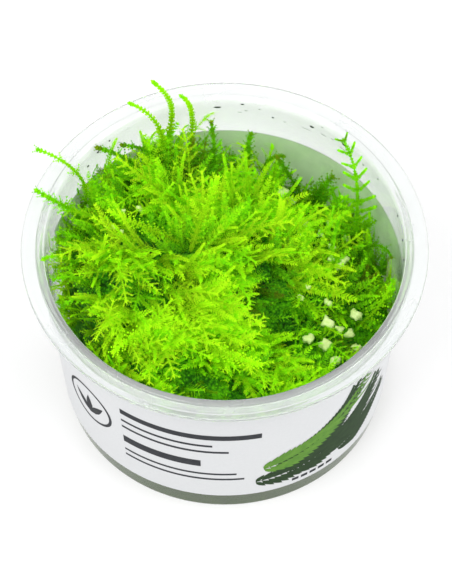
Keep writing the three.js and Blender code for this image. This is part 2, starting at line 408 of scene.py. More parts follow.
plastic, graph = new_material("clear_plastic")
place = object_place(graph)
cloud = noise_at(graph, place, 90.0, 3.0)
grain = noise_at(graph, place, 1400.0, 2.0)
clear = principled(graph, {
    "Base Color": (0.955, 0.975, 0.97, 1), "Roughness": cloud * 0.06 + 0.01, "IOR": PLASTIC_IOR,
    "Transmission Weight": 1.0, "Normal": bump(graph, grain, 0.05, 0.0002)})
milk = principled(graph, {"Base Color": (0.93, 0.95, 0.95, 1), "Roughness": 0.5, "IOR": PLASTIC_IOR})
height = graph.add("ShaderNodeSeparateXYZ", inputs={"Vector": place}).out("Z")
upper = graph.add("ShaderNodeMapRange", {"interpolation_type": "SMOOTHSTEP"}, {
    "Value": height, "From Min": CLEAR_BELOW, "From Max": MILKY_ABOVE,
    "To Min": WALL_MILK, "To Max": LIP_MILK})
haze = upper * (cloud * 0.6 + 0.7)
finish_material(graph, graph.add("ShaderNodeMixShader", inputs={"Fac": haze, 1: clear, 2: milk}))
print("made", plastic.name)

# %% Gel, paper and inks
PAINTED_PAPER_GLOW = 0.22


def ink(name, dark, light):
    """A flat printed colour with the slight mottle of ink on paper."""
    return mottled(name, 500.0, 3.0, dark, light, {"Roughness": 0.6, "Specular IOR Level": 0.1})


gel_finish = mottled("culture_gel", 120.0, 4.0, (0.030, 0.085, 0.002), (0.080, 0.155, 0.006), {
    "Roughness": 0.5, "IOR": 1.35, "Specular IOR Level": 0.05, "Transmission Weight": 0.02}, (0.2, 0.0006))
paper = mottled("label_paper", 1500.0, 4.0, (0.62, 0.63, 0.64), (0.67, 0.68, 0.69), {
    "Roughness": 0.5, "Specular IOR Level": 0.25}, (0.08, 0.0002))
# The inner side is painted: a glow for daylight that comes through the paper, and a pale green for light
# bounced off the moss.
paper_back_painted_glow = mottled("label_back", 300.0, 4.0, (0.60, 0.78, 0.46), (0.76, 0.92, 0.64), {
    "Roughness": 0.6, "Specular IOR Level": 0.2}, glow=PAINTED_PAPER_GLOW)
grey_ink = ink("grey_ink", (0.022, 0.024, 0.028), (0.045, 0.048, 0.054))
deep_ink = ink("deep_green_ink", (0.008, 0.022, 0.008), (0.03, 0.07, 0.02))
leaf_ink = ink("leaf_green_ink", (0.05, 0.16, 0.02), (0.16, 0.34, 0.04))

# %% Moss leaves
MOSS_TINTS = [
    (0.00, (0.150, 0.075, 0.008)),
    (0.10, (0.100, 0.130, 0.006)),
    (0.22, (0.070, 0.280, 0.005)),
    (0.42, (0.240, 0.740, 0.006)),
    (0.62, (0.420, 0.960, 0.007)),
    (0.82, (0.570, 1.000, 0.009)),
    (1.00, (0.700, 1.000, 0.015)),
]
OLD_SHADE = 0.32
LEAF_GLOW = 0.42
PAINTED_TIP_GLOW = 1.1

moss_finish, graph = new_material("moss_leaf")
leaf_map = graph.add("ShaderNodeUVMap", {"uv_map": "OFBake"})
axes = graph.add("ShaderNodeSeparateXYZ", inputs={"Vector": leaf_map})
tint = graph.add("ShaderNodeValToRGB", {"stops": MOSS_TINTS}, {"Fac": axes.out("X")})
age_and_light = axes.out("Y")
# Leaves darken towards the foot of a shoot: partly the real darker colour of old leaves, partly painted shade
# under the shoots that lie over them.
shade = age_and_light * (1 - OLD_SHADE) + OLD_SHADE
leaf_colour = mix(graph, shade, (0.004, 0.030, 0.001, 1), tint)
# Young tips get a painted glow, standing in for the light that their one cell thick leaves scatter, so they
# shine out of the shade.
painted_tip_glow = mix(graph, age_and_light ** 1.5, (0, 0, 0, 1), leaf_colour)
skin = principled(graph, {
    "Base Color": leaf_colour, "Roughness": 0.55, "IOR": 1.4, "Specular IOR Level": 0.12,
    "Emission Color": painted_tip_glow, "Emission Strength": PAINTED_TIP_GLOW})
glow = graph.add("ShaderNodeBsdfTranslucent", inputs={"Color": (0.50, 1.0, 0.008, 1)})
finish_material(graph, graph.add("ShaderNodeMixShader", inputs={"Fac": LEAF_GLOW, 1: skin, 2: glow}))
print("made", moss_finish.name)

# %% Moss ground
FELT_AND_SHADE_TINTS = [(0.25, (0.004, 0.020, 0.002)), (0.42, (0.022, 0.140, 0.002)), (0.62, (0.110, 0.440, 0.002))]

ground_finish, graph = new_material("moss_ground")
place = object_place(graph)
clump = noise_at(graph, place, 200.0, 4.0)
grain = graph.add("ShaderNodeTexVoronoi", {"feature": "F1"}, {"Vector": place, "Scale": 1300.0})
fuzz = noise_at(graph, place, 2600.0, 2.0)
# The felt's dark tones are partly its own colour and partly painted shade, darkest in the gaps of the grain,
# for the depths of the moss.
felt_and_shade = clump * 0.75 + (1 - grain) * 0.3 + fuzz * 0.3 - 0.2
tone = graph.add("ShaderNodeValToRGB", {"stops": FELT_AND_SHADE_TINTS}, {"Fac": felt_and_shade})
finish_material(graph, principled(graph, {
    "Base Color": tone, "Roughness": 0.8, "Specular IOR Level": 0.1,
    "Normal": bump(graph, felt_and_shade, 0.9, 0.0008)}))
print("made", ground_finish.name)

# %% [markdown]
# ## The tub
# The real tub is one thin moulding: a foot ring, a wall that opens a little towards the mouth, a rolled lip
# and a wide flange with a bead at its edge. One rounded profile holds all of that, turned in fine steps so
# that the highlights along the lip run smoothly.

# %% Tub
TUB_STEPS = 220
FOOT_RECESS = 0.15
FLANGE_UNDER = CUP_HEIGHT - 1.5

tub_profile = [
    (0, FOOT_RECESS),
    (BASE_RADIUS - 5.0, FOOT_RECESS),
    (BASE_RADIUS - 4.4, 0),
    (BASE_RADIUS - 0.2, 0),
    (outer_radius(FLANGE_UNDER - 0.9), FLANGE_UNDER - 0.9),
    (outer_radius(FLANGE_UNDER) + 0.9, FLANGE_UNDER),
    (FLANGE_RADIUS - 0.02, FLANGE_UNDER - 0.02),
    (FLANGE_RADIUS, FLANGE_UNDER + 1.15),
    (FLANGE_RADIUS - 1.5, FLANGE_UNDER + 1.15),
    (FLANGE_RADIUS - 1.7, FLANGE_UNDER + 0.85),
    (FLANGE_RADIUS - 3.6, FLANGE_UNDER + 0.85),
    (FLANGE_RADIUS - 4.0, CUP_HEIGHT),
    (MOUTH_RADIUS, CUP_HEIGHT),
    (inner_radius(FLOOR), FLOOR),
    (0, FLOOR),
]
tub_bends = [0.2, 0.2, 0.5, 0.6, 0.6, 0.45, 0.45, 0.2, 0.15, 0.3, 0.4, 0.8, 0.4]
tub = turned("tub", rounded(tub_profile, tub_bends), TUB_STEPS)
give_material(tub, plastic)
place_piece(tub, "clear_plastic", "cup")
print("tub", len(tub.data.polygons), "faces")

# %% [markdown]
# ## The label
# A paper band lies on the tapered wall and dips towards the back, and its two ends leave a gap at the left.
# It is built as a thin bent slab from a grid of angles and heights, with the paper's outer and inner side
# as two finishes.

# %% Label sizes
LABEL_BOTTOM = 6.7
LABEL_TOP = 49.3
LABEL_DIP = 5.0
LABEL_THICKNESS = 0.16
LABEL_LIFT = 0.12
LABEL_HALF_GAP = math.radians(15)
LABEL_TURNS = 180
LABEL_ROWS = 6


def on_label(angle, height, lift):
    """A point on the label, from its compass angle, its height before the dip and how far it stands off."""
    z = height - LABEL_DIP * (1 + math.sin(angle)) / 2
    radius = outer_radius(z) + LABEL_LIFT + lift
    return (radius * math.cos(angle), radius * math.sin(angle), z)


print("label", round(LABEL_TOP - LABEL_BOTTOM, 1), "mm high")

# %% Label
def label_rings():
    """The label's section at each angle, as a ring: up its outer side, then down its inner side."""
    tall = LABEL_TOP - LABEL_BOTTOM
    heights = [LABEL_BOTTOM + tall * row / LABEL_ROWS for row in range(LABEL_ROWS + 1)]
    sweep = TAU - 2 * LABEL_HALF_GAP
    rings = []
    for turn in range(LABEL_TURNS + 1):
        angle = -math.pi + LABEL_HALF_GAP + sweep * turn / LABEL_TURNS
        outer = [on_label(angle, height, LABEL_THICKNESS) for height in heights]
        inner = [on_label(angle, height, 0) for height in reversed(heights)]
        rings.append(outer + inner)
    return rings


label_points = [point for ring in label_rings() for point in ring]
section = 2 * (LABEL_ROWS + 1)
first_end = range(section)
last_end = range(len(label_points) - section, len(label_points))
label_faces = ring_faces(LABEL_TURNS + 1, section) + [tuple(first_end), tuple(last_end)]
label = make_piece("paper_label", label_points, label_faces)
give_material(label, paper, paper_back_painted_glow)
for face in label.data.polygons:
    if min(corner % section for corner in face.vertices) > LABEL_ROWS:
        face.material_index = 1
face_outwards(label)
label.data.set_sharp_from_angle(angle=math.radians(40))
place_piece(label, "label_paper", "label")
print("label", len(label.data.polygons), "faces")

# %% [markdown]
# ## The print
# A generic design stands on the label: a plain round badge with a sprout, grey rules like lines of type,
# and a spray of fern leaves. Every shape is a flat polygon in label coordinates, distance round the front
# and height, and is then laid on the cone of the wall, a hair above the paper.

# %% Print shapes
INK_LIFT = 0.03
PRINT_LIFT = LABEL_THICKNESS + INK_LIFT
PRINT_RADIUS = 43.5
PRINT_STEP = 2.0


def bar(left, right, bottom, top):
    """A plain upright rectangle."""
    return [(left, bottom), (right, bottom), (right, top), (left, top)]


def blade(x, y, angle, length, width):
    """A pointed leaf from its foot, with a slight belly."""
    outline = []
    for side, shares in ((-1, (0, 0.25, 0.5, 0.75)), (1, (1, 0.75, 0.5, 0.25))):
        for share in shares:
            half = side * width * math.sin(math.pi * share**0.8) / 2
            along = length * share
            outline.append((x + along * math.cos(angle) - half * math.sin(angle),
                            y + along * math.sin(angle) + half * math.cos(angle)))
    return outline


def ring_strip(x, y, radius, width, steps=40):
    """A round frame, as a chain of quads."""
    quads = []
    for i in range(steps):
        a = TAU * i / steps
        b = TAU * (i + 1) / steps
        quads.append([(x + r * math.cos(t), y + r * math.sin(t))
                      for r, t in ((radius, a), (radius + width, a), (radius + width, b), (radius, b))])
    return quads


def print_piece(name, shapes, material, lift=PRINT_LIFT):
    """Polygons in label coordinates, cut into narrow strips and laid on the label as one piece."""
    shape = bmesh.new()
    for outline in shapes:
        shape.faces.new([shape.verts.new((x, y, 0)) for x, y in outline])
    bmesh.ops.triangulate(shape, faces=shape.faces[:])
    left = min(v.co.x for v in shape.verts)
    right = max(v.co.x for v in shape.verts)
    for i in range(1, int((right - left) / PRINT_STEP) + 1):
        everything = shape.verts[:] + shape.edges[:] + shape.faces[:]
        cut = (left + i * PRINT_STEP, 0, 0)
        bmesh.ops.bisect_plane(shape, geom=everything, plane_co=cut, plane_no=(1, 0, 0))
    for vert in shape.verts:
        angle = -math.pi / 2 + vert.co.x / PRINT_RADIUS
        vert.co = Vector(on_label(angle, vert.co.y, lift)) * MM
    bmesh.ops.recalc_face_normals(shape, faces=shape.faces)
    piece = piece_from(shape, name)
    for face in piece.data.polygons:
        if face.normal.dot(Vector((face.center.x, face.center.y, 0))) < 0:
            face.flip()
    give_material(piece, material)
    place_piece(piece, "label_paper")


print("print shapes ready")

# %% Print
# left, right, bottom and top of the lines of type, and of the row of dashes
RULES = [(-27, 9, 37.2, 39.6), (-27, -3, 33.4, 34.4), (-27, 1, 30.2, 31.2),
         (-27, -6, 22.6, 25.8), (-27, 3, 18.2, 19.1), (-27, 5, 15.4, 16.3)]
DASHES = [(18 + 2.6 * i, 19.9 + 2.6 * i, 8.4, 9.7) for i in range(5)]
BADGE = (-38.5, 29.0)
BADGE_RADIUS = 7.2
BADGE_LINE = 0.9
SPROUT_FOOT = (BADGE[0], BADGE[1] - 4.5)
SPROUT_LEAF = (8.5, 2.4)
# x and y of the foot, lean in degrees, length, and reach of the blades; the first fern is the light one
FERNS = [
    (10, 19.5, 15, 38, 7.0), (8, 13, 5, 40, 6.5), (14, 18, 26, 36, 8.0), (17, 14, 13, 36, 8.0),
    (22, 20, 38, 26, 7.0), (27, 15, 30, 28, 8.0), (32, 13, 15, 22, 7.0),
]
FERN_PAIRS = 24
FERN_CURL = 22
BLADE_ANGLE = math.radians(52)
BLADE_TAPER = 0.7
BLADE_WIDTH = 0.38
RIB_WIDTH = 2.2
RIB_STRETCH = 1.02
# The size of the blades at the fern's foot, and where along it they are full grown
FOOT_SIZE = 0.62
FOOT_END = 0.10


def fern(x, y, lean, length, reach):
    """A fern leaf: a bent rib with pairs of blades that shorten towards its tip."""
    shapes = []
    for i in range(FERN_PAIRS):
        share = i / FERN_PAIRS
        angle = math.radians(lean + FERN_CURL * share)
        px = x + length * share * math.cos(angle)
        py = y + length * share * math.sin(angle)
        size = reach * (1 - BLADE_TAPER * share) * (FOOT_SIZE + (1 - FOOT_SIZE) * min(1, share / FOOT_END))
        for side in (-1, 1):
            shapes.append(blade(px, py, angle + side * BLADE_ANGLE, size, BLADE_WIDTH * size))
    shapes.append(blade(x, y, math.radians(lean + FERN_CURL / 2), length * RIB_STRETCH, RIB_WIDTH))
    return shapes


rules = [bar(*rule) for rule in RULES] + ring_strip(*BADGE, BADGE_RADIUS, BADGE_LINE)
print_piece("label_rules", rules + [bar(*dash) for dash in DASHES], grey_ink)
sprout = [blade(*SPROUT_FOOT, math.radians(90 + turn), *SPROUT_LEAF) for turn in (-38, 0, 38)]
print_piece("label_sprout", sprout, grey_ink)
print_piece("label_ferns_dark", [s for f in FERNS[1:] for s in fern(*f)], deep_ink)
print_piece("label_ferns_light", fern(*FERNS[0]), leaf_ink, PRINT_LIFT + INK_LIFT)
print("print laid on the label")

# %% [markdown]
# ## The gel
# Culture gel is poured in warm and sets against the plastic, with no air between. A gap would mirror the
# white surroundings, so the mesh of the gel reaches a little way into the wall and the floor of the tub,
# and light passes straight from the plastic into the gel. Its top is flat and climbs a little at the wall.

# %% Gel
GEL_STEPS = 160
GEL_BOTTOM = FLOOR - 0.3
GEL_HOLD = 0.35
GEL_CLIMB = 0.7

gel_profile = [
    (0, GEL_BOTTOM),
    (inner_radius(GEL_BOTTOM) + GEL_HOLD, GEL_BOTTOM),
    (inner_radius(GEL_TOP + GEL_CLIMB) + GEL_HOLD, GEL_TOP + GEL_CLIMB),
    (inner_radius(GEL_TOP) - 4.0, GEL_TOP),
    (0, GEL_TOP),
]
gel = turned("culture_gel", rounded(gel_profile, [0.25, 0.3, 2.0]), GEL_STEPS)
give_material(gel, gel_finish)
place_piece(gel, "culture_gel", "gel")
print("gel", len(gel.data.polygons), "faces")

# %% [markdown]
# ## The ground of the moss
# Under the leaves lies a felt of old shoots, coloured dark partly as painted shade for the depths of the
# moss.
# Its top is a level with tussocks that rise from it, as smooth bells, and a hollow that sinks below it. The
# same height function places everything that grows on it.

# %% Mat heights
MAT_LEVEL = 33.0
# The middle of each tussock, how far it rises and how far it spreads
TUSSOCKS = [
    ((-31, 0), 17, 15), ((-15, 34), 12, 9), ((-24, -26), 13, 14), ((2, -33), 11, 14), ((-5, 3), 10, 13),
    ((17, 8), 6, 10), ((27, -24), 6, 12), ((36, 4), 2, 9), ((-32, 24), 6, 9), ((11, -9), -5, 7),
]


def mat_height(x, y):
    """The height of the mat above the base, in millimetres, for numbers or arrays."""
    height = MAT_LEVEL
    for (at_x, at_y), rise, reach in TUSSOCKS:
        away = (x - at_x) ** 2 + (y - at_y) ** 2
        height = height + rise * np.exp(-away / (2 * reach**2))
    return height


print("mat height in the middle", round(float(mat_height(0, 0)), 1), "mm")

# %% Ground grid
GROUND_SINK = 4.2
GROUND_RINGS = 44
GROUND_TURNS = 180
GROUND_SIDE_ROWS = 12
GROUND_OFF_WALL = 1.4
GROUND_BOTTOM = GEL_TOP + 1.2
# How far the top rounds off at its edge, and how close to the edge
EDGE_DROP = 1.6
EDGE_POWER = 12
# Left of the front the moss has drawn back from the wall: compass middle and spread in degrees, and how far
BARE_MIDDLE = 197.0
BARE_SPREAD = 19.0
BARE_WIDTH = 7.5
# The radius at which that place begins, and over what width it does
BARE_START = 31
BARE_BLEND = 4


def ground_grid():
    """Points of the ground as rings from the middle of the top, over the edge and down to the gel."""
    angle = np.arange(GROUND_TURNS) * TAU / GROUND_TURNS
    rings = []
    edge = inner_radius(MAT_LEVEL) - GROUND_OFF_WALL
    turned_away = (angle - math.radians(BARE_MIDDLE)) / math.radians(BARE_SPREAD)
    pull = BARE_WIDTH * np.exp(-(turned_away**2))
    for ring in range(1, GROUND_RINGS + 1):
        radius = (edge - pull) * ring / GROUND_RINGS
        x = radius * np.cos(angle)
        y = radius * np.sin(angle)
        z = mat_height(x, y) - GROUND_SINK - EDGE_DROP * (ring / GROUND_RINGS) ** EDGE_POWER
        spread = inner_radius(z) / inner_radius(MAT_LEVEL)
        rings.append(np.stack([x * spread, y * spread, z], 1))
    top_edge = rings[-1]
    for row in range(1, GROUND_SIDE_ROWS + 1):
        z = top_edge[:, 2] + (GROUND_BOTTOM - top_edge[:, 2]) * row / GROUND_SIDE_ROWS
        radius = inner_radius(z) - GROUND_OFF_WALL - pull * (1 - (row / GROUND_SIDE_ROWS) ** 2)
        rings.append(np.stack([radius * np.cos(angle), radius * np.sin(angle), z], 1))
    return rings


grid = ground_grid()
grid_points = np.concatenate(grid)
print("ground grid", len(grid_points), "points")

# %% Ground mesh
LUMP_HEIGHT = 0.35


def lump(points):
    """Small lumps over the felt, as crossing waves, in millimetres."""
    x, y, z = points.T
    waves = np.sin(1.9 * x + 0.7 * z) * np.sin(2.1 * y - 0.5 * z) + 0.5 * np.sin(3.7 * x - 2.9 * y)
    return LUMP_HEIGHT * waves


bumped = grid_points.copy()
bumped[:, 2] += lump(grid_points)
ground_top = (0, 0, float(mat_height(0, 0)) - GROUND_SINK)
ground_rings = bumped.reshape(len(grid), GROUND_TURNS, 3).tolist()
ground = closed_rings("moss_ground", ground_top, ground_rings, (0, 0, GROUND_BOTTOM))
give_material(ground, ground_finish)
place_piece(ground, "moss_green", "moss_mat")
print("ground", len(ground.data.polygons), "faces")

# %% [markdown]
# ## Growing things with Geometry Nodes
# A moss shoot repeats one rule at every size: blades stand in two rows along a line. A twig has leaves
# along it, a frond has twigs along it. So one tree does both. Its lines carry what it needs as attributes:
# which way is sideways, how far the blades reach, how thick the stem is, and the tint.

# %% Tree helpers
def new_tree(name, inputs):
    """A geometry tree with named inputs, its graph, and the wires of those inputs."""
    tree = bpy.data.node_groups.new(name, "GeometryNodeTree")
    graph = Graph(tree)
    for title, kind in inputs.items():
        tree.interface.new_socket(title, in_out="INPUT", socket_type="NodeSocket" + kind)
    tree.interface.new_socket("Geometry", in_out="OUTPUT", socket_type="NodeSocketGeometry")
    source = tree.nodes.new("NodeGroupInput")
    return graph, {title: Wire(graph, source.outputs[title]) for title in inputs}


def grow(name, source, tree, values):
    """Runs a tree on an object and gives the result as a new object with a plain mesh."""
    modifier = source.modifiers.new("grow", "NODES")
    modifier.node_group = tree
    for item in tree.interface.items_tree:
        if item.in_out == "INPUT" and item.name in values:
            modifier[item.identifier] = values[item.name]
    depsgraph = bpy.context.evaluated_depsgraph_get()
    mesh = bpy.data.meshes.new_from_object(source.evaluated_get(depsgraph))
    source.modifiers.remove(modifier)
    mesh.name = name
    return link_object(name, mesh)


def read(graph, name, kind="FLOAT"):
    """A named attribute."""
    return graph.add("GeometryNodeInputNamedAttribute", {"data_type": kind}, {"Name": name})


def store(graph, geometry, name, value, domain="POINT", kind="FLOAT"):
    """The geometry with a value kept as a named attribute."""
    return graph.add("GeometryNodeStoreNamedAttribute", {"data_type": kind, "domain": domain}, {
        "Geometry": geometry, "Name": name, "Value": value})


def random_value(graph, low, high, seed, kind="FLOAT"):
    """A random value for each element."""
    return graph.add("FunctionNodeRandomValue", {"data_type": kind}, {"Min": low, "Max": high, "Seed": seed})


def aim(graph, ahead, up):
    """The rotation that turns X ahead and Z up."""
    return graph.add("FunctionNodeAxesToRotation", {"primary_axis": "X", "secondary_axis": "Z"}, {
        "Primary Axis": ahead, "Secondary Axis": up})


def join(graph, parts):
    """Several geometries as one."""
    node = graph.tree.nodes.new("GeometryNodeJoinGeometry")
    for part in parts:
        graph.tree.links.new(part.socket, node.inputs[0])
    return Wire(graph, node.outputs[0])


print("tree helpers ready")

# %% [markdown]
# The leaf map is written at the end of every growing tree. Each leaf covers a small patch of it, so no face
# is without width there, and leaves of one tint and one age and light share a patch, because they share a
# colour.

# %% Leaf map
LEAF_PATCH = 0.012
# The rim of the map that no leaf uses
MAP_EDGE = 0.02
# How much of a leaf's age and light, which paint its shade and glow, comes from the place on the leaf, on its
# twig and on its stem
LEAF_AGE_AND_LIGHT = 0.10
TWIG_AGE_AND_LIGHT = 0.30
STEM_AGE_AND_LIGHT = 0.55


def close_tree(graph, geometry, material):
    """Stores the leaf map, tint across and age with light up, sets the material and ends the tree."""
    tint = read(graph, "tint") + read(graph, "twig_tint") + LEAF_PATCH * read(graph, "across")
    across = graph.add("ShaderNodeClamp", inputs={"Value": tint, "Min": MAP_EDGE, "Max": 1 - MAP_EDGE})
    age_and_light = MAP_EDGE + LEAF_AGE_AND_LIGHT * read(graph, "along") + TWIG_AGE_AND_LIGHT * read(graph, "twig_share")
    age_and_light = age_and_light + STEM_AGE_AND_LIGHT * read(graph, "stem_share")
    place = graph.add("ShaderNodeCombineXYZ", inputs={"X": across, "Y": age_and_light})
    mapped = store(graph, geometry, "OFBake", place, "CORNER", "FLOAT2")
    dressed = graph.add("GeometryNodeSetMaterial", inputs={"Geometry": mapped, "Material": material})
    graph.add("NodeGroupOutput", inputs={"Geometry": dressed})
    print("tree", graph.tree.name, "has", len(graph.tree.nodes), "nodes")
    return graph.tree


print("leaf patch", LEAF_PATCH)

# %% Rows of blades
# How much nearer the blades lie to the line at its tip than at its foot
TIP_CLOSING = 0.3
ANGLE_JITTER = 0.2
TINT_JITTER = 0.15
FLAT_ROWS = [(-1, 0), (1, 0)]
ROUND_ROWS = [(-0.8, 0.6), (0, 1), (0.8, 0.6), (0, -1)]


def blade_rows(graph, line, blade, count, angle, size, share_name, seed, places):
    """Blades in rows along a line. A place says how far sideways and how far up its row stands."""
    points = graph.add("GeometryNodeCurveToPoints", {"mode": "COUNT"}, {"Curve": line, "Count": count})
    tangent = points.out("Tangent")
    share = graph.add("GeometryNodeInputIndex") / (count - 1)
    stations = store(graph, points, share_name, share)
    stations = store(graph, stations, "twig_tint", random_value(graph, -TINT_JITTER, TINT_JITTER, seed))
    stations = store(graph, stations, "heading", tangent, kind="FLOAT_VECTOR")
    heading = read(graph, "heading", "FLOAT_VECTOR")
    side = read(graph, "side", "FLOAT_VECTOR")
    top = graph.calculate("CROSS_PRODUCT", side, heading)
    source = graph.add("GeometryNodeObjectInfo", {"transform_space": "ORIGINAL"}, {"Object": blade})
    shape = source.out("Geometry")
    rows = []
    for row, (sideways, upwards) in enumerate(places):
        jitter = random_value(graph, 1 - ANGLE_JITTER, 1 + ANGLE_JITTER, seed + (10 + row))
        spread = angle * (1 - TIP_CLOSING * share**3) * jitter
        away = side * sideways + top * upwards
        ahead = heading * graph.calculate("COSINE", spread) + away * graph.calculate("SINE", spread)
        rows.append(graph.add("GeometryNodeInstanceOnPoints", inputs={
            "Points": stations, "Instance": shape, "Rotation": aim(graph, ahead, away if upwards else top),
            "Scale": size}))
    return rows


print("rows beside a line:", len(FLAT_ROWS), "round it:", len(ROUND_ROWS))

# %% Tree: a shoot along a line
# The leaves all round the stem: their angle to it in radians, and how much smaller the smallest are
SCALE_ANGLE = 0.75
SCALE_SPREAD = 0.4

graph, given = new_tree("shoot_along_a_line", {
    "Geometry": "Geometry", "Blade": "Object", "Pairs": "Int", "Angle": "Float", "Bare Foot": "Float",
    "Size Spread": "Float", "Share Name": "String", "Scale Leaf": "Object", "Scale Count": "Int",
    "Scale Reach": "Float", "Stem": "Bool", "Stem Sides": "Int", "Seed": "Int", "Material": "Material"})
line = graph.add("GeometryNodeMeshToCurve", inputs={"Mesh": given["Geometry"]})
leafy = graph.add("GeometryNodeTrimCurve", {"mode": "FACTOR"}, {
    "Curve": line, "Start": given["Bare Foot"], "End": 1.0})
spread = random_value(graph, 0.0, 1.0, given["Seed"] + 5)
twigs = blade_rows(
    graph, leafy, given["Blade"], given["Pairs"], given["Angle"],
    read(graph, "reach") * (1 - given["Size Spread"] * spread), given["Share Name"], given["Seed"], FLAT_ROWS)
scales = blade_rows(
    graph, line, given["Scale Leaf"], given["Scale Count"], SCALE_ANGLE,
    given["Scale Reach"] * (1 - SCALE_SPREAD * spread), given["Share Name"], given["Seed"] + 40, ROUND_ROWS)
realized = graph.add("GeometryNodeRealizeInstances", inputs={"Geometry": join(graph, twigs + scales)})

stem_line = store(graph, line, "stem_share", graph.add("GeometryNodeSplineParameter").out("Factor"))
section = graph.add("GeometryNodeCurvePrimitiveCircle", {"mode": "RADIUS"}, {
    "Resolution": given["Stem Sides"], "Radius": 1.0})
section = store(graph, section, "across", graph.add("GeometryNodeInputIndex") - 1)
stem = graph.add("GeometryNodeCurveToMesh", inputs={
    "Curve": stem_line, "Profile Curve": section, "Scale": read(graph, "girth"), "Fill Caps": True})
stem = graph.add("GeometryNodeSwitch", {"input_type": "GEOMETRY"}, {"Switch": given["Stem"], "True": stem})
rows_tree = close_tree(graph, join(graph, [realized, stem]), given["Material"])

# %% [markdown]
# ## Leaf, twig and shoots
# The leaf is two triangles folded along the midrib. Lines for the trees are worked out here: each grows
# forward in small steps, and may swing and arch as it goes. All lengths are in millimetres until a mesh is
# made.

# %% Lines to grow along
LINE_STEPS = 20
UP = Vector((0, 0, 1))


def keep_values(mesh, values):
    """Keeps arrays as attributes of the mesh's points: numbers, or rows of three as vectors."""
    for title, array in values.items():
        is_row = np.ndim(array) == 2
        attribute = mesh.attributes.new(title, "FLOAT_VECTOR" if is_row else "FLOAT", "POINT")
        attribute.data.foreach_set("vector" if is_row else "value", np.asarray(array, np.float32).ravel())


def line_object(name, points, light, reach, girth, tint):
    """A line of edges that carries sideways direction, blade reach, stem girth and tint at its points."""
    mesh = bpy.data.meshes.new(name)
    edges = [(i, i + 1) for i in range(len(points) - 1)]
    mesh.from_pydata([p * MM for p in points], edges, [])
    shares = [i / (len(points) - 1) for i in range(len(points))]
    ahead = [after - before for before, after in zip(points[:1] + points, points[1:] + points[-1:])]
    keep_values(mesh, {
        "side": [step.cross(light).normalized() for step in ahead], "reach": [reach(s) for s in shares],
        "girth": [girth(s) * MM for s in shares], "tint": [tint(s) for s in shares]})
    return link_object(name, mesh)


def growth_points(start, heading, rise, length, turn, bend, root=0.0, steps=LINE_STEPS):
    """Points of a growing line. The angles are in degrees; turn and bend are their change up to the tip."""
    point = Vector(start)

    def direction(share):
        compass = math.radians(heading + turn * share)
        angle = math.radians(rise + bend * share)
        level = math.cos(angle)
        return Vector((level * math.cos(compass), level * math.sin(compass), math.sin(angle)))

    points = [point - direction(0) * root, point.copy()] if root else [point.copy()]
    for i in range(steps):
        point = point + direction((i + 0.5) / steps) * (length / steps)
        points.append(point.copy())
    return points


print("lines have", LINE_STEPS, "steps")

# %% Leaves
# Where along the leaf it is widest, how far its edges fold up there, and how far its tip curls up
LEAF_WIDEST = 0.4
LEAF_FOLD = 0.08
LEAF_CURL = 0.02


def leaf_object(name, half):
    """A leaf of unit length along X, folded along its midrib; half is its half width."""
    mesh = bpy.data.meshes.new(name)
    points = [(0, 0, 0), (LEAF_WIDEST, half, LEAF_FOLD), (LEAF_WIDEST, -half, LEAF_FOLD), (1, 0, LEAF_CURL)]
    mesh.from_pydata(points, [], [(0, 2, 3), (0, 3, 1)])
    keep_values(mesh, {"across": [0, -1, 1, 0], "along": [0, LEAF_WIDEST, LEAF_WIDEST, 1]})
    return link_object(name, mesh)


def strip_attributes(piece, names):
    """Removes helper attributes from a grown mesh."""
    for name in names:
        attribute = piece.data.attributes.get(name)
        if attribute:
            piece.data.attributes.remove(attribute)


def drop(*helpers):
    """Deletes helper objects."""
    for helper in helpers:
        bpy.data.objects.remove(helper)


leaf = leaf_object("leaf", 0.18)
broad_leaf = leaf_object("broad_leaf", 0.40)
print("leaves", leaf.name, "and", broad_leaf.name)

# %% [markdown]
# A twig is leaves in two rows along a short arching line. The twigs of the fronds have broader leaves, and
# some all round, so they keep their body where a frond points at the camera.

# %% Twigs
TWIG_STEPS = 3
TWIG_BEND = -18
TWIG_TAPER = 0.45
TWIG_GIRTH = 0.02
LEAF_ANGLE = math.radians(60)
ROUND_REACH = 0.9
LINE_ATTRIBUTES = ["side", "reach", "girth", "tint", "heading"]


def grow_along(name, line, values):
    """Blades along a line, which is deleted. The values add to those that most lines share."""
    grown = grow(name, line, rows_tree, {
        "Angle": LEAF_ANGLE, "Size Spread": 0.3, "Share Name": "stem_share", "Scale Leaf": leaf, "Stem": True,
        "Material": moss_finish, **values})
    drop(line)
    return grown


def make_twig(name, twig_leaf, pairs, leaf_length, has_stem, round_count=0):
    """A twig of unit length."""
    points = growth_points((0, 0, 0), 0, 0, 1 / MM, 0, TWIG_BEND, steps=TWIG_STEPS)
    line = line_object(
        name + "_line", points, UP, lambda s: leaf_length * (1 - TWIG_TAPER * s), lambda s: TWIG_GIRTH / MM,
        lambda s: 0)
    twig = grow_along(name, line, {
        "Blade": twig_leaf, "Pairs": pairs, "Bare Foot": 0.02, "Share Name": "twig_share",
        "Scale Leaf": twig_leaf, "Scale Count": round_count, "Scale Reach": ROUND_REACH * leaf_length,
        "Stem": has_stem, "Stem Sides": 3, "Seed": pairs})
    strip_attributes(twig, [*LINE_ATTRIBUTES, "stem_share", "OFBake"])
    print(name, len(twig.data.polygons), "faces")
    return twig


coarse_twig = make_twig("coarse_twig", leaf, 5, 0.42, False)
fine_twig = make_twig("fine_twig", leaf, 9, 0.28, True)
long_twig = make_twig("long_twig", broad_leaf, 7, 0.28, True, 8)
short_twig = make_twig("short_twig", broad_leaf, 4, 0.40, True, 4)

# %% [markdown]
# A shoot set with leaves alone is a narrow band. One set with twigs is a small frond. Short shoots of both
# kinds fill the carpet, and longer sprays of both kinds lie over it.

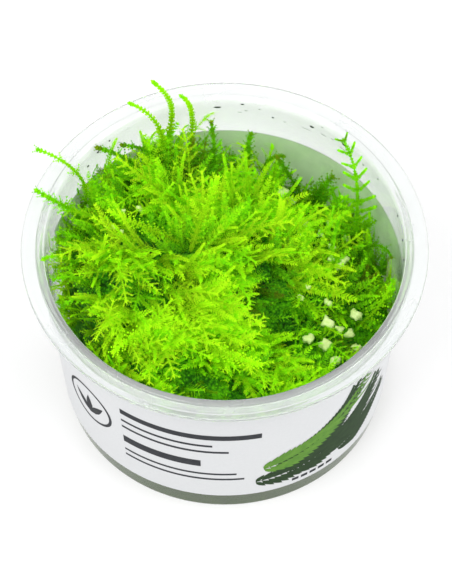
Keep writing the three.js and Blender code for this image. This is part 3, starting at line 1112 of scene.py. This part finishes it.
# %% Shoots for the carpet
SHOOT_RISE = 8
SHOOT_GIRTH = 0.12
SHOOT_TAPER = 0.5
# blade, length, turn, bend, pairs, reach
SHORT_SHOOTS = [
    (leaf, 8.0, 25, -22, 17, 1.6), (coarse_twig, 7.5, -30, -10, 7, 2.3),
    (leaf, 9.5, -12, -28, 20, 1.7), (coarse_twig, 7.0, 18, -10, 6, 2.2),
]
SPRAYS = [
    (fine_twig, 16.0, 28, -30, 7, 3.8), (leaf, 14.0, -34, -16, 30, 1.5),
    (fine_twig, 18.0, -14, -36, 8, 4.0), (leaf, 12.0, 15, 5, 26, 1.4),
]


def shoot_set(name, shoots, steps, sides, scales_per_mm, scale_reach):
    """A collection of shoots that lie along X from the origin."""
    collection = bpy.data.collections.new(name)
    bpy.context.scene.collection.children.link(collection)
    for i, (blade, length, turn, bend, pairs, reach) in enumerate(shoots):
        points = growth_points((0, 0, 0), 0, SHOOT_RISE, length, turn, bend, steps=steps)
        line = line_object(
            "shoot_line", points, UP, lambda s: reach * MM * (1 - SHOOT_TAPER * s**2),
            lambda s: SHOOT_GIRTH * (1 - SHOOT_TAPER * s), lambda s: 0)
        grown = grow_along(f"{name}_{i}", line, {
            "Blade": blade, "Pairs": pairs, "Bare Foot": 0.06, "Scale Count": int(scales_per_mm * length),
            "Scale Reach": scale_reach * MM, "Stem Sides": sides, "Seed": 30 + i})
        strip_attributes(grown, [*LINE_ATTRIBUTES, "OFBake"])
        bpy.context.scene.collection.objects.unlink(grown)
        collection.objects.link(grown)
    return collection


short_shoots = shoot_set("short_shoots", SHORT_SHOOTS, 6, 3, 1.1, 1.0)
sprays = shoot_set("sprays", SPRAYS, 10, 4, 1.8, 1.15)

# %% [markdown]
# ## The carpet
# Short shoots stand all over the ground. They flow outwards from the crown of the mound, each with its own
# swing, and lie over each other like thatch. Longer sprays grow among them in two layers, a low and a high
# one. The ground patch carries the flow, the tint and the size at its points, and the scattering tree reads
# them.

# %% Tree: shoots over the ground
# How far the upper side of a shoot may sway, and how far its tint may differ from the ground's
SWAY = (0.45, 0.45, 0.2)
DARKER = 0.28
LIGHTER = 0.2

graph, given = new_tree("shoots_over_ground", {
    "Geometry": "Geometry", "Shoots": "Collection", "Density": "Float", "Swing": "Float",
    "Lowest Lift": "Float", "Highest Lift": "Float", "Smallest": "Float", "Largest": "Float", "Sink": "Float",
    "Tint Shift": "Float", "Seed": "Int", "Material": "Material"})
seed = given["Seed"]
scattered = graph.add("GeometryNodeDistributePointsOnFaces", {"distribute_method": "RANDOM"}, {
    "Mesh": given["Geometry"], "Density": given["Density"] * read(graph, "lushness"), "Seed": seed})
stations = store(graph, scattered, "surface", scattered.out("Normal"), kind="FLOAT_VECTOR")
surface = read(graph, "surface", "FLOAT_VECTOR")
flow = read(graph, "flow", "FLOAT_VECTOR")
beside = graph.calculate("CROSS_PRODUCT", surface, flow)
swing = random_value(graph, -1.0, 1.0, seed + 1) * given["Swing"]
lift = random_value(graph, given["Lowest Lift"], given["Highest Lift"], seed + 2)
ahead = flow * graph.calculate("COSINE", swing) + beside * graph.calculate("SINE", swing)
sway = random_value(graph, tuple(-s for s in SWAY), SWAY, seed + 3, "FLOAT_VECTOR")
turn = aim(graph, ahead + surface * lift, surface + sway + read(graph, "light", "FLOAT_VECTOR"))
size = random_value(graph, given["Smallest"], given["Largest"], seed + 4) * read(graph, "vigour")
pick = random_value(graph, 0, len(SPRAYS) - 1, seed + 5, "INT")
shapes = graph.add("GeometryNodeCollectionInfo", {"transform_space": "ORIGINAL"}, {
    "Collection": given["Shoots"], "Separate Children": True, "Reset Children": True})
tint = read(graph, "tint") + given["Tint Shift"] + random_value(graph, -DARKER, LIGHTER, seed + 6)
stations = store(graph, stations, "tint", tint)
stations = graph.add("GeometryNodeSetPosition", inputs={
    "Geometry": stations, "Offset": surface * (given["Sink"] * -1)})
planted = graph.add("GeometryNodeInstanceOnPoints", inputs={
    "Points": stations, "Instance": shapes, "Pick Instance": True, "Instance Index": pick,
    "Rotation": turn, "Scale": size})
realized = graph.add("GeometryNodeRealizeInstances", inputs={"Geometry": planted})
carpet_tree = close_tree(graph, realized, given["Material"])

# %% Places on the mat
CROWN = (-8.0, 6.0)
# Each place is x, y and how far it spreads, in millimetres
DEEP_PATCHES = [(-14, 33, 6), (-28, 22, 6), (27, 26, 8), (-34, 6, 4), (2, 30, 4)]
OLD_PATCHES = [(-14, 17, 3.0), (-9, 31, 2.5), (22, -22, 2.6), (-6, -36, 4.0), (27, -14, 2.4)]
LIME_PATCHES = [(-20, -9, 13), (20, 2, 6), (7, 23, 9), (2, -17, 7), (-9, 20, 6), (-27, -20, 8),
                (32, -21, 8), (20, -32, 7)]
HOLLOWS = [
    (10, -4, 4.0), (14, -8, 3.0), (-12, -30, 2.6), (-2, -32, 2.8), (-9, -38, 2.4), (5, -38, 2.0),
    (19, -18, 2.4), (9, -25, 2.0), (27, -13, 2.0), (16, -28, 2.0), (9, -34, 2.0), (-21, -3, 1.8),
    (-5, 1, 1.6), (5, 12, 1.8), (-14, 14, 1.6), (-10, 8, 1.6),
]
# Gel crumbs lie on the moss: x, y and size
CRUMBS = [
    (25.6, -10.6, 1.5), (32.6, -7.6, 1.4), (20.8, -16.1, 1.3), (24.9, -18.4, 1.4), (31.0, -13.8, 1.1),
    (28.5, -12.5, 1.0), (27.0, -23.7, 1.3), (32.4, -18.5, 1.1), (19.0, -3.0, 0.8), (25.8, -4.3, 1.0),
    (20.8, -0.4, 0.7), (28.9, 6.5, 1.0), (-21.4, 18.0, 0.9), (-25.4, 16.4, 0.8), (-27.9, 9.6, 0.7),
    (-25.5, 8.0, 0.6), (14.9, 32.0, 1.3), (17.0, 29.0, 1.2), (20.2, 20.0, 1.3), (24.2, 16.8, 1.0),
    (18.7, 16.0, 0.9), (26.6, 21.6, 1.1), (31.0, 16.4, 1.1), (27.0, 12.4, 0.9), (30.0, 8.6, 1.1),
    (26.7, 8.4, 0.8),
]


def spots(x, y, places):
    """How much places lie on any of the spots, from 0 to 1."""
    share = 0 * x
    for at_x, at_y, spread in places:
        share = np.maximum(share, np.exp(-((x - at_x) ** 2 + (y - at_y) ** 2) / (2 * spread**2)))
    return share


def drawn_back(x, y):
    """From 0 to 1, how much places lie where the moss has drawn back from the wall."""
    turned_away = (np.degrees(np.arctan2(y, x)) % 360 - BARE_MIDDLE) / BARE_SPREAD
    return np.exp(-(turned_away**2)) * np.clip((np.hypot(x, y) - BARE_START) / BARE_BLEND, 0, 1)


print("spots:", len(OLD_PATCHES), "old,", len(LIME_PATCHES), "lime,", len(HOLLOWS), "hollow")

# %% Tints of the mat
# Waves per millimetre and strength of the tufts
CLUMP_WAVES = [(0.12, 1.0), (0.31, 0.7)]
CLUMP_CONTRAST = 1.7
MAIN_TINT = 0.44
HIGH_GROUND = 17
HIGH_TINT = 0.20
LIME_TINT = 0.18
CLUMP_TINT = 0.20
TINT_RANGE = (0.06, 0.95)
# How much darker the shoots are on each kind of place; in the hollows this is painted shade
DARKENING = [(HOLLOWS, 0.30), (OLD_PATCHES, 0.45), (DEEP_PATCHES, 0.17)]


def clumps(x, y):
    """Smooth random waves over the mat, from -1 in the gaps to 1 on the tufts."""
    heights = 0
    for pitch, strength in CLUMP_WAVES:
        wave = [strength * noise.noise(Vector((a * pitch, b * pitch, 0.5))) for a, b in zip(x, y)]
        heights = heights + np.array(wave)
    return np.clip(CLUMP_CONTRAST * heights, -1, 1)


def mat_tints(x, y):
    """The tint of the shoots at places on the mat: lime patches, painted light on the high ground and tufts,
    and painted shade in the hollows and the gaps between tufts.
    """
    high = (mat_height(x, y) - MAT_LEVEL) / HIGH_GROUND
    waves = 0.13 * np.sin(0.31 * x + 1.0) * np.sin(0.27 * y + 0.4) + 0.12 * np.sin(0.55 * x - 0.43 * y)
    # The high ground is painted lighter, for the light on the tops of the tussocks.
    tint = MAIN_TINT + HIGH_TINT * high + waves + LIME_TINT * spots(x, y, LIME_PATCHES)
    # Tufts are painted lighter and the gaps between them darker, as light and shade.
    tint = tint + CLUMP_TINT * clumps(x, y)
    for places, darkening in DARKENING:
        tint = tint - darkening * spots(x, y, places)
    return np.clip(tint, *TINT_RANGE)


print("main tint", MAIN_TINT)

# %% Lushness of the mat
CLEARING = 3.0
SIDE_LUSHNESS = 0.12
OPENING_LUSHNESS = 0.85
# How wide the view through the label's gap is, in radians
OPENING_SPREAD = 0.3
HOLLOW_THINNING = 0.75
CLEARING_THINNING = 0.85
DRAWN_THINNING = 0.5
TUFT_THICKENING = 0.55
# How much larger the shoots grow on tufts, and smaller in hollows and where the moss has drawn back
TUFT_GROWTH = 0.25
HOLLOW_LOSS = 0.3
DRAWN_LOSS = 0.45


def lushness_at(x, y, on_side):
    """How thickly the shoots stand: thin in hollows, round the crumbs and behind the paper."""
    behind_gap = np.exp(-((np.pi - np.abs(np.arctan2(y, x))) / OPENING_SPREAD) ** 2)
    side = SIDE_LUSHNESS + (OPENING_LUSHNESS - SIDE_LUSHNESS) * behind_gap
    clearings = spots(x, y, [(cx, cy, CLEARING) for cx, cy, size in CRUMBS])
    top = (1 - HOLLOW_THINNING * spots(x, y, HOLLOWS)) * (1 - CLEARING_THINNING * clearings)
    tufts = 1 + TUFT_THICKENING * clumps(x, y)
    return (top * tufts * (1 - on_side) + side * on_side) * (1 - DRAWN_THINNING * drawn_back(x, y))


def vigour_at(x, y):
    """How large the shoots grow."""
    growth = (1 + TUFT_GROWTH * clumps(x, y)) * (1 - HOLLOW_LOSS * spots(x, y, HOLLOWS))
    return growth * (1 - DRAWN_LOSS * drawn_back(x, y))


print("lushness of the side", SIDE_LUSHNESS)

# %% Ground patches
LIGHT = Vector((0, -0.56, 0.83))
LIGHT_PULL = 0.6
# How far the flow of the shoots swings off the straight way out, in radians, and its waves per millimetre
FLOW_SWIRL = 3.0
FLOW_PITCH = 0.055
# How steeply the flow climbs on the side and near the edge, and how much it loses of its way out on the side
SIDE_CLIMB = 1.6
EDGE_CLIMB = 0.6
SIDE_LOSS = 0.85
# The radius at which the edge begins and its width, and the same for the side, as depths below the top
EDGE_START = 29
EDGE_WIDTH = 9
SIDE_START = 1.5
SIDE_WIDTH = 2.5


def patch_object(name, keep_face):
    """A part of the ground, with what the carpet tree reads at its points."""
    quads = ring_faces(len(grid), GROUND_TURNS)
    middles = grid_points[np.array(quads)].mean(1)
    kept = [q for q, m in zip(quads, middles) if keep_face(m)]
    used = sorted({i for q in kept for i in q})
    renumber = {old: new for new, old in enumerate(used)}
    points = grid_points[used]
    mesh = bpy.data.meshes.new(name)
    mesh.from_pydata([tuple(p * MM) for p in points], [], [tuple(renumber[i] for i in q) for q in kept])
    x, y, z = points.T
    around = np.arctan2(y - CROWN[1], x - CROWN[0])
    swirl = [noise.noise(Vector((a, b, 40)) * FLOW_PITCH) for a, b in zip(x, y)]
    around = around + FLOW_SWIRL * np.array(swirl)
    edge = np.clip((np.hypot(x, y) - EDGE_START) / EDGE_WIDTH, 0, 1)
    on_side = np.clip((mat_height(x, y) - GROUND_SINK - SIDE_START - z) / SIDE_WIDTH, 0, 1)
    flow = np.stack([np.cos(around), np.sin(around), on_side * SIDE_CLIMB + edge * EDGE_CLIMB], 1)
    flow[:, :2] *= (1 - SIDE_LOSS * on_side)[:, None]
    flow /= np.linalg.norm(flow, axis=1)[:, None]
    light = np.outer(1 - on_side, np.array(LIGHT) * LIGHT_PULL)
    keep_values(mesh, {
        "flow": flow, "light": light, "tint": mat_tints(x, y), "lushness": lushness_at(x, y, on_side),
        "vigour": vigour_at(x, y)})
    return link_object(name, mesh)


print("crown at", CROWN, "mm")

# %% Finished moss
WALL_CLEARANCE = 0.25
FLANGE_CLEARANCE = 0.3
GEL_CLEARANCE = 0.2
MOSS_ATTRIBUTES = [*LINE_ATTRIBUTES, "stem_share", "twig_share", "twig_tint", "across", "along", "surface",
                   "flow", "light", "lushness", "vigour"]


def keep_inside(piece, over_flange=False):
    """Presses leaves back inside the wall, or lifts those that hang over the flange onto it."""
    places = np.empty(len(piece.data.vertices) * 3, np.float32)
    piece.data.vertices.foreach_get("co", places)
    places = places.reshape(-1, 3) / MM
    radius = np.hypot(places[:, 0], places[:, 1])
    height = places[:, 2]
    if over_flange:
        resting = (radius > MOUTH_RADIUS) & (height < CUP_HEIGHT + FLANGE_CLEARANCE)
        places[resting, 2] = CUP_HEIGHT + FLANGE_CLEARANCE
    else:
        limit = inner_radius(np.minimum(height, CUP_HEIGHT)) - WALL_CLEARANCE
        outside = (radius > limit) & (height < CUP_HEIGHT + FLANGE_CLEARANCE)
        places[outside, :2] *= (limit / np.maximum(radius, 1e-6))[outside, None]
    places[:, 2] = np.maximum(places[:, 2], GEL_TOP + GEL_CLEARANCE)
    piece.data.vertices.foreach_set("co", (places * MM).astype(np.float32).ravel())
    piece.data.update()


def finish_moss(piece, slot, *nodes, over_flange=False):
    """Fits a grown piece into the tub and says what it stands for."""
    keep_inside(piece, over_flange)
    strip_attributes(piece, MOSS_ATTRIBUTES)
    place_piece(piece, slot, *nodes)


print("clearance to the wall", WALL_CLEARANCE, "mm")

# %% Carpet pieces
SECTORS = 5
SPRAY_EDGE = 0.92
SPRAY_DEPTH = 5
CARPET = {
    "Density": 262000.0, "Swing": math.radians(70), "Lowest Lift": 0.3, "Highest Lift": 1.3, "Smallest": 0.75,
    "Largest": 1.25, "Sink": 0.0003, "Tint Shift": 0.0}
# The low sprays lie over the carpet, and the high ones stand up to the light. Their tint shifts are painted
# light, most on the high ones, which makes them the brightest.
LOW_SPRAYS = {
    "Density": 40000.0, "Swing": math.radians(75), "Lowest Lift": 0.25, "Highest Lift": 0.9, "Smallest": 0.6,
    "Largest": 1.0, "Sink": -0.0006, "Tint Shift": 0.06, "Seed": 200}
HIGH_SPRAYS = {
    **LOW_SPRAYS, "Lowest Lift": 0.4, "Highest Lift": 1.3, "Smallest": 0.55, "Largest": 0.95, "Sink": -0.0012,
    "Tint Shift": 0.20, "Seed": 300}


def grow_carpet(name, keep_face, shoots, values):
    """Shoots scattered over a part of the ground, as a finished piece."""
    patch = patch_object("patch", keep_face)
    carpet = grow(name, patch, carpet_tree, {"Shoots": shoots, "Material": moss_finish, **values})
    drop(patch)
    finish_moss(carpet, "moss_green", "moss_mat")
    print(name, sum(len(face.vertices) - 2 for face in carpet.data.polygons), "triangles")


def on_top(middle):
    """True for a face of the ground's top, away from the wall."""
    inside = math.hypot(middle[0], middle[1]) < SPRAY_EDGE * inner_radius(middle[2])
    return inside and middle[2] > MAT_LEVEL - SPRAY_DEPTH


for sector in range(SECTORS):
    def in_sector(middle, sector=sector):
        """True for a face of the ground in this sector."""
        return int((math.atan2(middle[1], middle[0]) % TAU) / TAU * SECTORS) == sector

    grow_carpet(f"moss_carpet_{sector + 1}", in_sector, short_shoots, {**CARPET, "Seed": 100 + sector})
grow_carpet("moss_sprays_low", on_top, sprays, LOW_SPRAYS)
grow_carpet("moss_sprays_high", on_top, sprays, HIGH_SPRAYS)

# %% [markdown]
# ## The fronds
# The fronds that stand out of the mat follow the same lines as their solids: foot on the mat, compass
# heading, angle of rise, and how both change on the way to the tip. Most of them carry twigs. The bare
# stalks at the back left carry broad leaves instead, beside the stem and all round it.

# %% Frond table
# foot x, foot y, heading, rise, length, turn, bend, pairs, reach, tint
FRONDS = {
    "tall_shoot": ("frond_lime", [
        (-14.5, 37.5, -100, 120, 27, -80, -65, 0, 0, 0.84), (-9, 39, -115, 110, 27, -15, -50, 0, 0, 0.84),
        (-16, 36.5, 160, 100, 23, 30, -60, 0, 0, 0.80), (-35, 21.5, 175, 100, 25, 0, -75, 5, 2.4, 0.70)]),
    "rim_frond": ("frond_lime", [
        (-36, 15.5, -130, 70, 19, -60, -30, 8, 2.6, 0.50), (-37.5, -0.5, -160, 60, 12, 35, -25, 4, 2, 0.62),
        (-35, -7, -175, 45, 8, 30, -30, 4, 2, 0.52), (-33, -13, 170, 35, 7, 60, -45, 4, 2, 0.48)]),
    "back_frond": ("frond_dark", [
        (-21.5, 30.5, -170, 65, 15, -5, -35, 7, 2.2, 0.28), (-17.5, 34.5, 180, 50, 10, 10, -30, 4, 2, 0.25),
        (-22.5, 27, 165, 70, 9, 35, -40, 4, 2, 0.27), (-25, 20.5, 140, 70, 8, 15, -20, 4, 2, 0.25),
        (-3, 35, 70, 80, 16, 45, -10, 7, 2.2, 0.25), (6, 40, -155, 95, 16, 110, -20, 5, 2.6, 0.30),
        (10, 38, 40, 90, 12, -90, -55, 4, 2, 0.26), (19, 33, 165, 65, 13, 0, 0, 5, 2.6, 0.24),
        (23, 31, -20, 70, 11, 0, -5, 5, 3.2, 0.26)]),
    "right_frond": ("frond_dark", [
        (34, 18, 60, 115, 34, 65, -80, 10, 5, 0.46), (30.5, 25, 165, 75, 9, 5, -15, 5, 2.6, 0.36),
        (35, 13, -10, 65, 13, -65, -55, 5, 2.4, 0.26), (35.5, -8, 25, 40, 12, 30, 20, 7, 2.4, 0.76)]),
    "crown_frond": ("frond_bright", [
        (-7.5, 9, 75, 5, 17, -30, 65, 8, 1.8, 0.94), (-8.5, -16, -160, 20, 23, 30, -15, 10, 2.8, 0.90),
        (-9, -23, -30, 8, 20, 5, 5, 10, 2.6, 0.93), (-13.5, -27, -130, 8, 9, 0, 0, 5, 1.8, 0.86),
        (-15, 8, 170, 25, 15, -5, 0, 8, 2.0, 0.92)]),
}
# girth, scale reach, scales per millimetre, twig taper, twigs for each pair, angle of the twigs
FROND_BUILD = {
    "tall_shoot": (0.30, 1.55, 1.2, 0.3, 1.0, 46), "rim_frond": (0.28, 1.70, 1.4, 0.45, 1.4, 54),
    "back_frond": (0.30, 1.75, 1.5, 0.4, 1.4, 50), "right_frond": (0.30, 1.50, 1.4, 0.5, 1.1, 66),
    "crown_frond": (0.20, 1.30, 1.8, 0.5, 1.7, 56),
}
print("fronds:", sum(len(fronds) for slot_name, fronds in FRONDS.values()))

# %% Fronds
ROOT_DEPTH = 4.0
STEM_TAPER = 0.3
TAPER_POWER = 1.3
FROND_FOOT = 0.12
FROND_SPREAD = 0.25
# On a bare stalk, the reach of the leaves and the way from one pair to the next
BARE_REACH = 1.6
BARE_PITCH = 1.2
# Twigs reach a little further than the solid's branches, and fronds with a longer reach have the long twig
TWIG_REACH = 1.15
LONG_REACH = 4.0
# The closed bud at the tip of a frond is darker: from where along it, and by how much of the tint
BUD_START = 0.86
BUD_SHADE = 0.4


def frond_blades(length, pairs, reach, twigs_per_pair):
    """What stands along a frond: the blade, how many of them on a side, and their reach in metres."""
    if pairs == 0:
        return broad_leaf, int(length / BARE_PITCH), BARE_REACH * MM
    twig = long_twig if reach > LONG_REACH else short_twig
    return twig, int(pairs * twigs_per_pair), reach * TWIG_REACH * MM


for kind, (slot_name, fronds) in FRONDS.items():
    girth, scale_reach, scales_per_mm, taper, twigs_per_pair, angle = FROND_BUILD[kind]
    for number, (x, y, heading, rise, length, turn, bend, pairs, reach, tint) in enumerate(fronds, 1):
        start = (x, y, float(mat_height(x, y)))
        points = growth_points(start, heading, rise, length, turn, bend, ROOT_DEPTH)
        blade, count, blade_reach = frond_blades(length, pairs, reach, twigs_per_pair)
        bud = 0 if kind == "crown_frond" else BUD_SHADE * tint
        line = line_object(
            "frond_line", points, LIGHT, lambda s: blade_reach * (1 - taper * s**TAPER_POWER),
            lambda s: girth * (1 - STEM_TAPER * s),
            lambda s: tint - bud * max(0, s - BUD_START) / (1 - BUD_START))
        frond = grow_along(f"{kind}_{number}_leaves", line, {
            "Blade": blade, "Pairs": count, "Angle": math.radians(angle), "Bare Foot": FROND_FOOT,
            "Size Spread": FROND_SPREAD, "Scale Leaf": broad_leaf, "Scale Count": int(length * scales_per_mm),
            "Scale Reach": scale_reach * MM, "Stem Sides": 6, "Seed": 50 + number})
        finish_moss(frond, slot_name, f"{kind}_{number}", over_flange=kind in ("rim_frond", "tall_shoot"))
    print(kind, len(fronds), "fronds")

# %% Clear away the helpers
for collection in (short_shoots, sprays):
    drop(*collection.objects)
    bpy.data.collections.remove(collection)
drop(leaf, broad_leaf, coarse_twig, fine_twig, long_twig, short_twig)
print("helpers removed")

# %% [markdown]
# ## Crumbs and specks
# Crumbs of pale gel stuck to the moss when it was potted, and small bits of leaf and gel cling to the wall
# above the paper. Crumbs are lumps with a rough skin that sit on the felt. Specks are low domes on the
# inner face.

# %% Gel crumbs
CRUMB_SINK = 0.2
CRUMB_RISE = 0.45
CRUMB_FLATNESS = 0.75

crumb_finish = mottled("gel_crumb", 700.0, 3.0, (0.40, 0.60, 0.08), (0.84, 0.96, 0.50), {
    "Roughness": 0.35, "IOR": 1.35}, (0.4, 0.0003))


def add_crumb(shape, x, y, size):
    """A lump on the felt, wider than high, with a rough skin."""
    made = bmesh.ops.create_icosphere(shape, subdivisions=2, radius=1.0)
    middle = Vector((x, y, float(mat_height(x, y)) - CRUMB_SINK + CRUMB_RISE * size))
    for vert in made["verts"]:
        a, b, c = vert.co
        rough = 1 + 0.45 * math.sin(3.1 * a + 5 * x) * math.sin(2.7 * b + 3 * y)
        rough = rough + 0.22 * math.sin(5.3 * c + 4.1 * a + x)
        vert.co = (middle + Vector((a * size, b * size, CRUMB_FLATNESS * c * size)) * rough) * MM


shape = bmesh.new()
for crumb in CRUMBS:
    add_crumb(shape, *crumb)
crumbs = piece_from(shape, "gel_crumbs")
give_material(crumbs, crumb_finish)
place_piece(crumbs, "culture_gel")
print("crumbs", len(CRUMBS))

# %% Specks on the wall
SPECK_TURNS = 12
SPECK_HEIGHT = 0.25
# The rings of a speck: their share of its size and how far they stand off the wall
SPECK_RINGS = [(1.0, 0.02), (0.65, 0.7 * SPECK_HEIGHT), (0.0, SPECK_HEIGHT)]
# angle on the wall in degrees, height, half its width, half its height
DARK_SPECKS = [
    (92.4, 54.2, 1.0, 0.28), (60.1, 53.8, 0.65, 0.32), (47.3, 54.2, 0.6, 0.36), (84.2, 55.6, 0.5, 0.18),
    (136.2, 53.6, 0.4, 0.28), (131.0, 54.6, 0.3, 0.2), (141.3, 51.8, 0.4, 0.3), (73.9, 52.3, 0.35, 0.18),
    (5.0, 53.5, 0.3, 0.4), (-3.0, 54.0, 0.25, 0.35), (14.0, 54.2, 0.22, 0.45),
]
PALE_SPECKS = [
    (83.0, 53.3, 0.5, 0.16), (85.0, 52.5, 0.7, 0.14), (78.5, 54.5, 0.4, 0.2), (69.8, 51.9, 0.4, 0.16),
    (62.0, 52.2, 1.5, 0.14), (55.5, 53.0, 1.0, 0.14), (52.0, 53.4, 0.5, 0.2), (47.5, 52.4, 1.2, 0.15),
    (56.3, 55.6, 0.4, 0.2), (38.0, 53.0, 0.4, 0.3), (30.0, 54.0, 0.3, 0.4), (100.0, 53.0, 0.4, 0.15),
]


def speck_mesh(name, places, material):
    """Low domes on the inner face of the wall, each closed by its foot."""
    points = []
    faces = []
    for degrees, height, half_wide, half_high in places:
        base = len(points)
        for share, rise in SPECK_RINGS:
            for turn in range(SPECK_TURNS if share else 1):
                step = TAU * turn / SPECK_TURNS
                z = height + share * half_high * math.sin(step)
                radius = inner_radius(z) - rise
                angle = math.radians(degrees) + share * half_wide * math.cos(step) / radius
                points.append((radius * math.cos(angle), radius * math.sin(angle), z))
        low = base + SPECK_TURNS
        tip = low + SPECK_TURNS
        for turn in range(SPECK_TURNS):
            after = (turn + 1) % SPECK_TURNS
            faces.append((base + turn, base + after, low + after, low + turn))
            faces.append((low + turn, low + after, tip))
        faces.append(tuple(base + turn for turn in reversed(range(SPECK_TURNS))))
    piece = make_piece(name, points, faces)
    face_outwards(piece)
    give_material(piece, material)
    place_piece(piece, "culture_gel")
    print(name, len(places))


speck_mesh("leaf_specks", DARK_SPECKS, ink("leaf_bit", (0.02, 0.035, 0.02), (0.06, 0.09, 0.05)))
speck_mesh("gel_specks", PALE_SPECKS, ink("gel_bit", (0.40, 0.46, 0.40), (0.55, 0.60, 0.54)))

# %% [markdown]
# ## Floor and light
# The tub stands on a white sweep under a broad white sky, with one large soft lamp above and in front and a
# weaker one at the right, so shadows stay faint and the leaves glow.

# %% Floor and sky
# Half the width of the white floor, in millimetres
FLOOR_HALF = 2000
FLOOR_CORNERS = [(-1, -1), (1, -1), (1, 1), (-1, 1)]
SKY_STRENGTH = 0.84

floor_finish, graph = new_material("studio_floor")
finish_material(graph, principled(graph, {
    "Base Color": (0.45, 0.45, 0.45, 1), "Roughness": 0.9, "Emission Color": (1, 1, 1, 1),
    "Emission Strength": 0.5}))
floor_points = [(x * FLOOR_HALF, y * FLOOR_HALF, 0) for x, y in FLOOR_CORNERS]
floor = make_piece("floor", floor_points, [(0, 1, 2, 3)], smooth=False)
give_material(floor, floor_finish)

world = bpy.data.worlds.new("sky")
bpy.context.scene.world = world
world.use_nodes = True
sky = world.node_tree.nodes["Background"]
sky.inputs["Color"].default_value = (1, 1, 1, 1)
sky.inputs["Strength"].default_value = SKY_STRENGTH
print("floor and sky set")

# %% Lamps
LAMP_AIM = Vector((0, 0, 0.04))
LAMP_SIZE = 0.5


def soft_lamp(name, place, power):
    """A square lamp that faces the tub."""
    data = bpy.data.lights.new(name, "AREA")
    data.size = LAMP_SIZE
    data.energy = power
    lamp = link_object(name, data)
    lamp.location = place
    lamp.rotation_euler = (LAMP_AIM - Vector(place)).to_track_quat("-Z", "Y").to_euler()


soft_lamp("key", (-0.35, -0.35, 0.8), 4.2)
soft_lamp("fill", (0.6, -0.25, 0.6), 2.6)
bpy.context.scene.view_settings.view_transform = "Standard"
print("lights set")
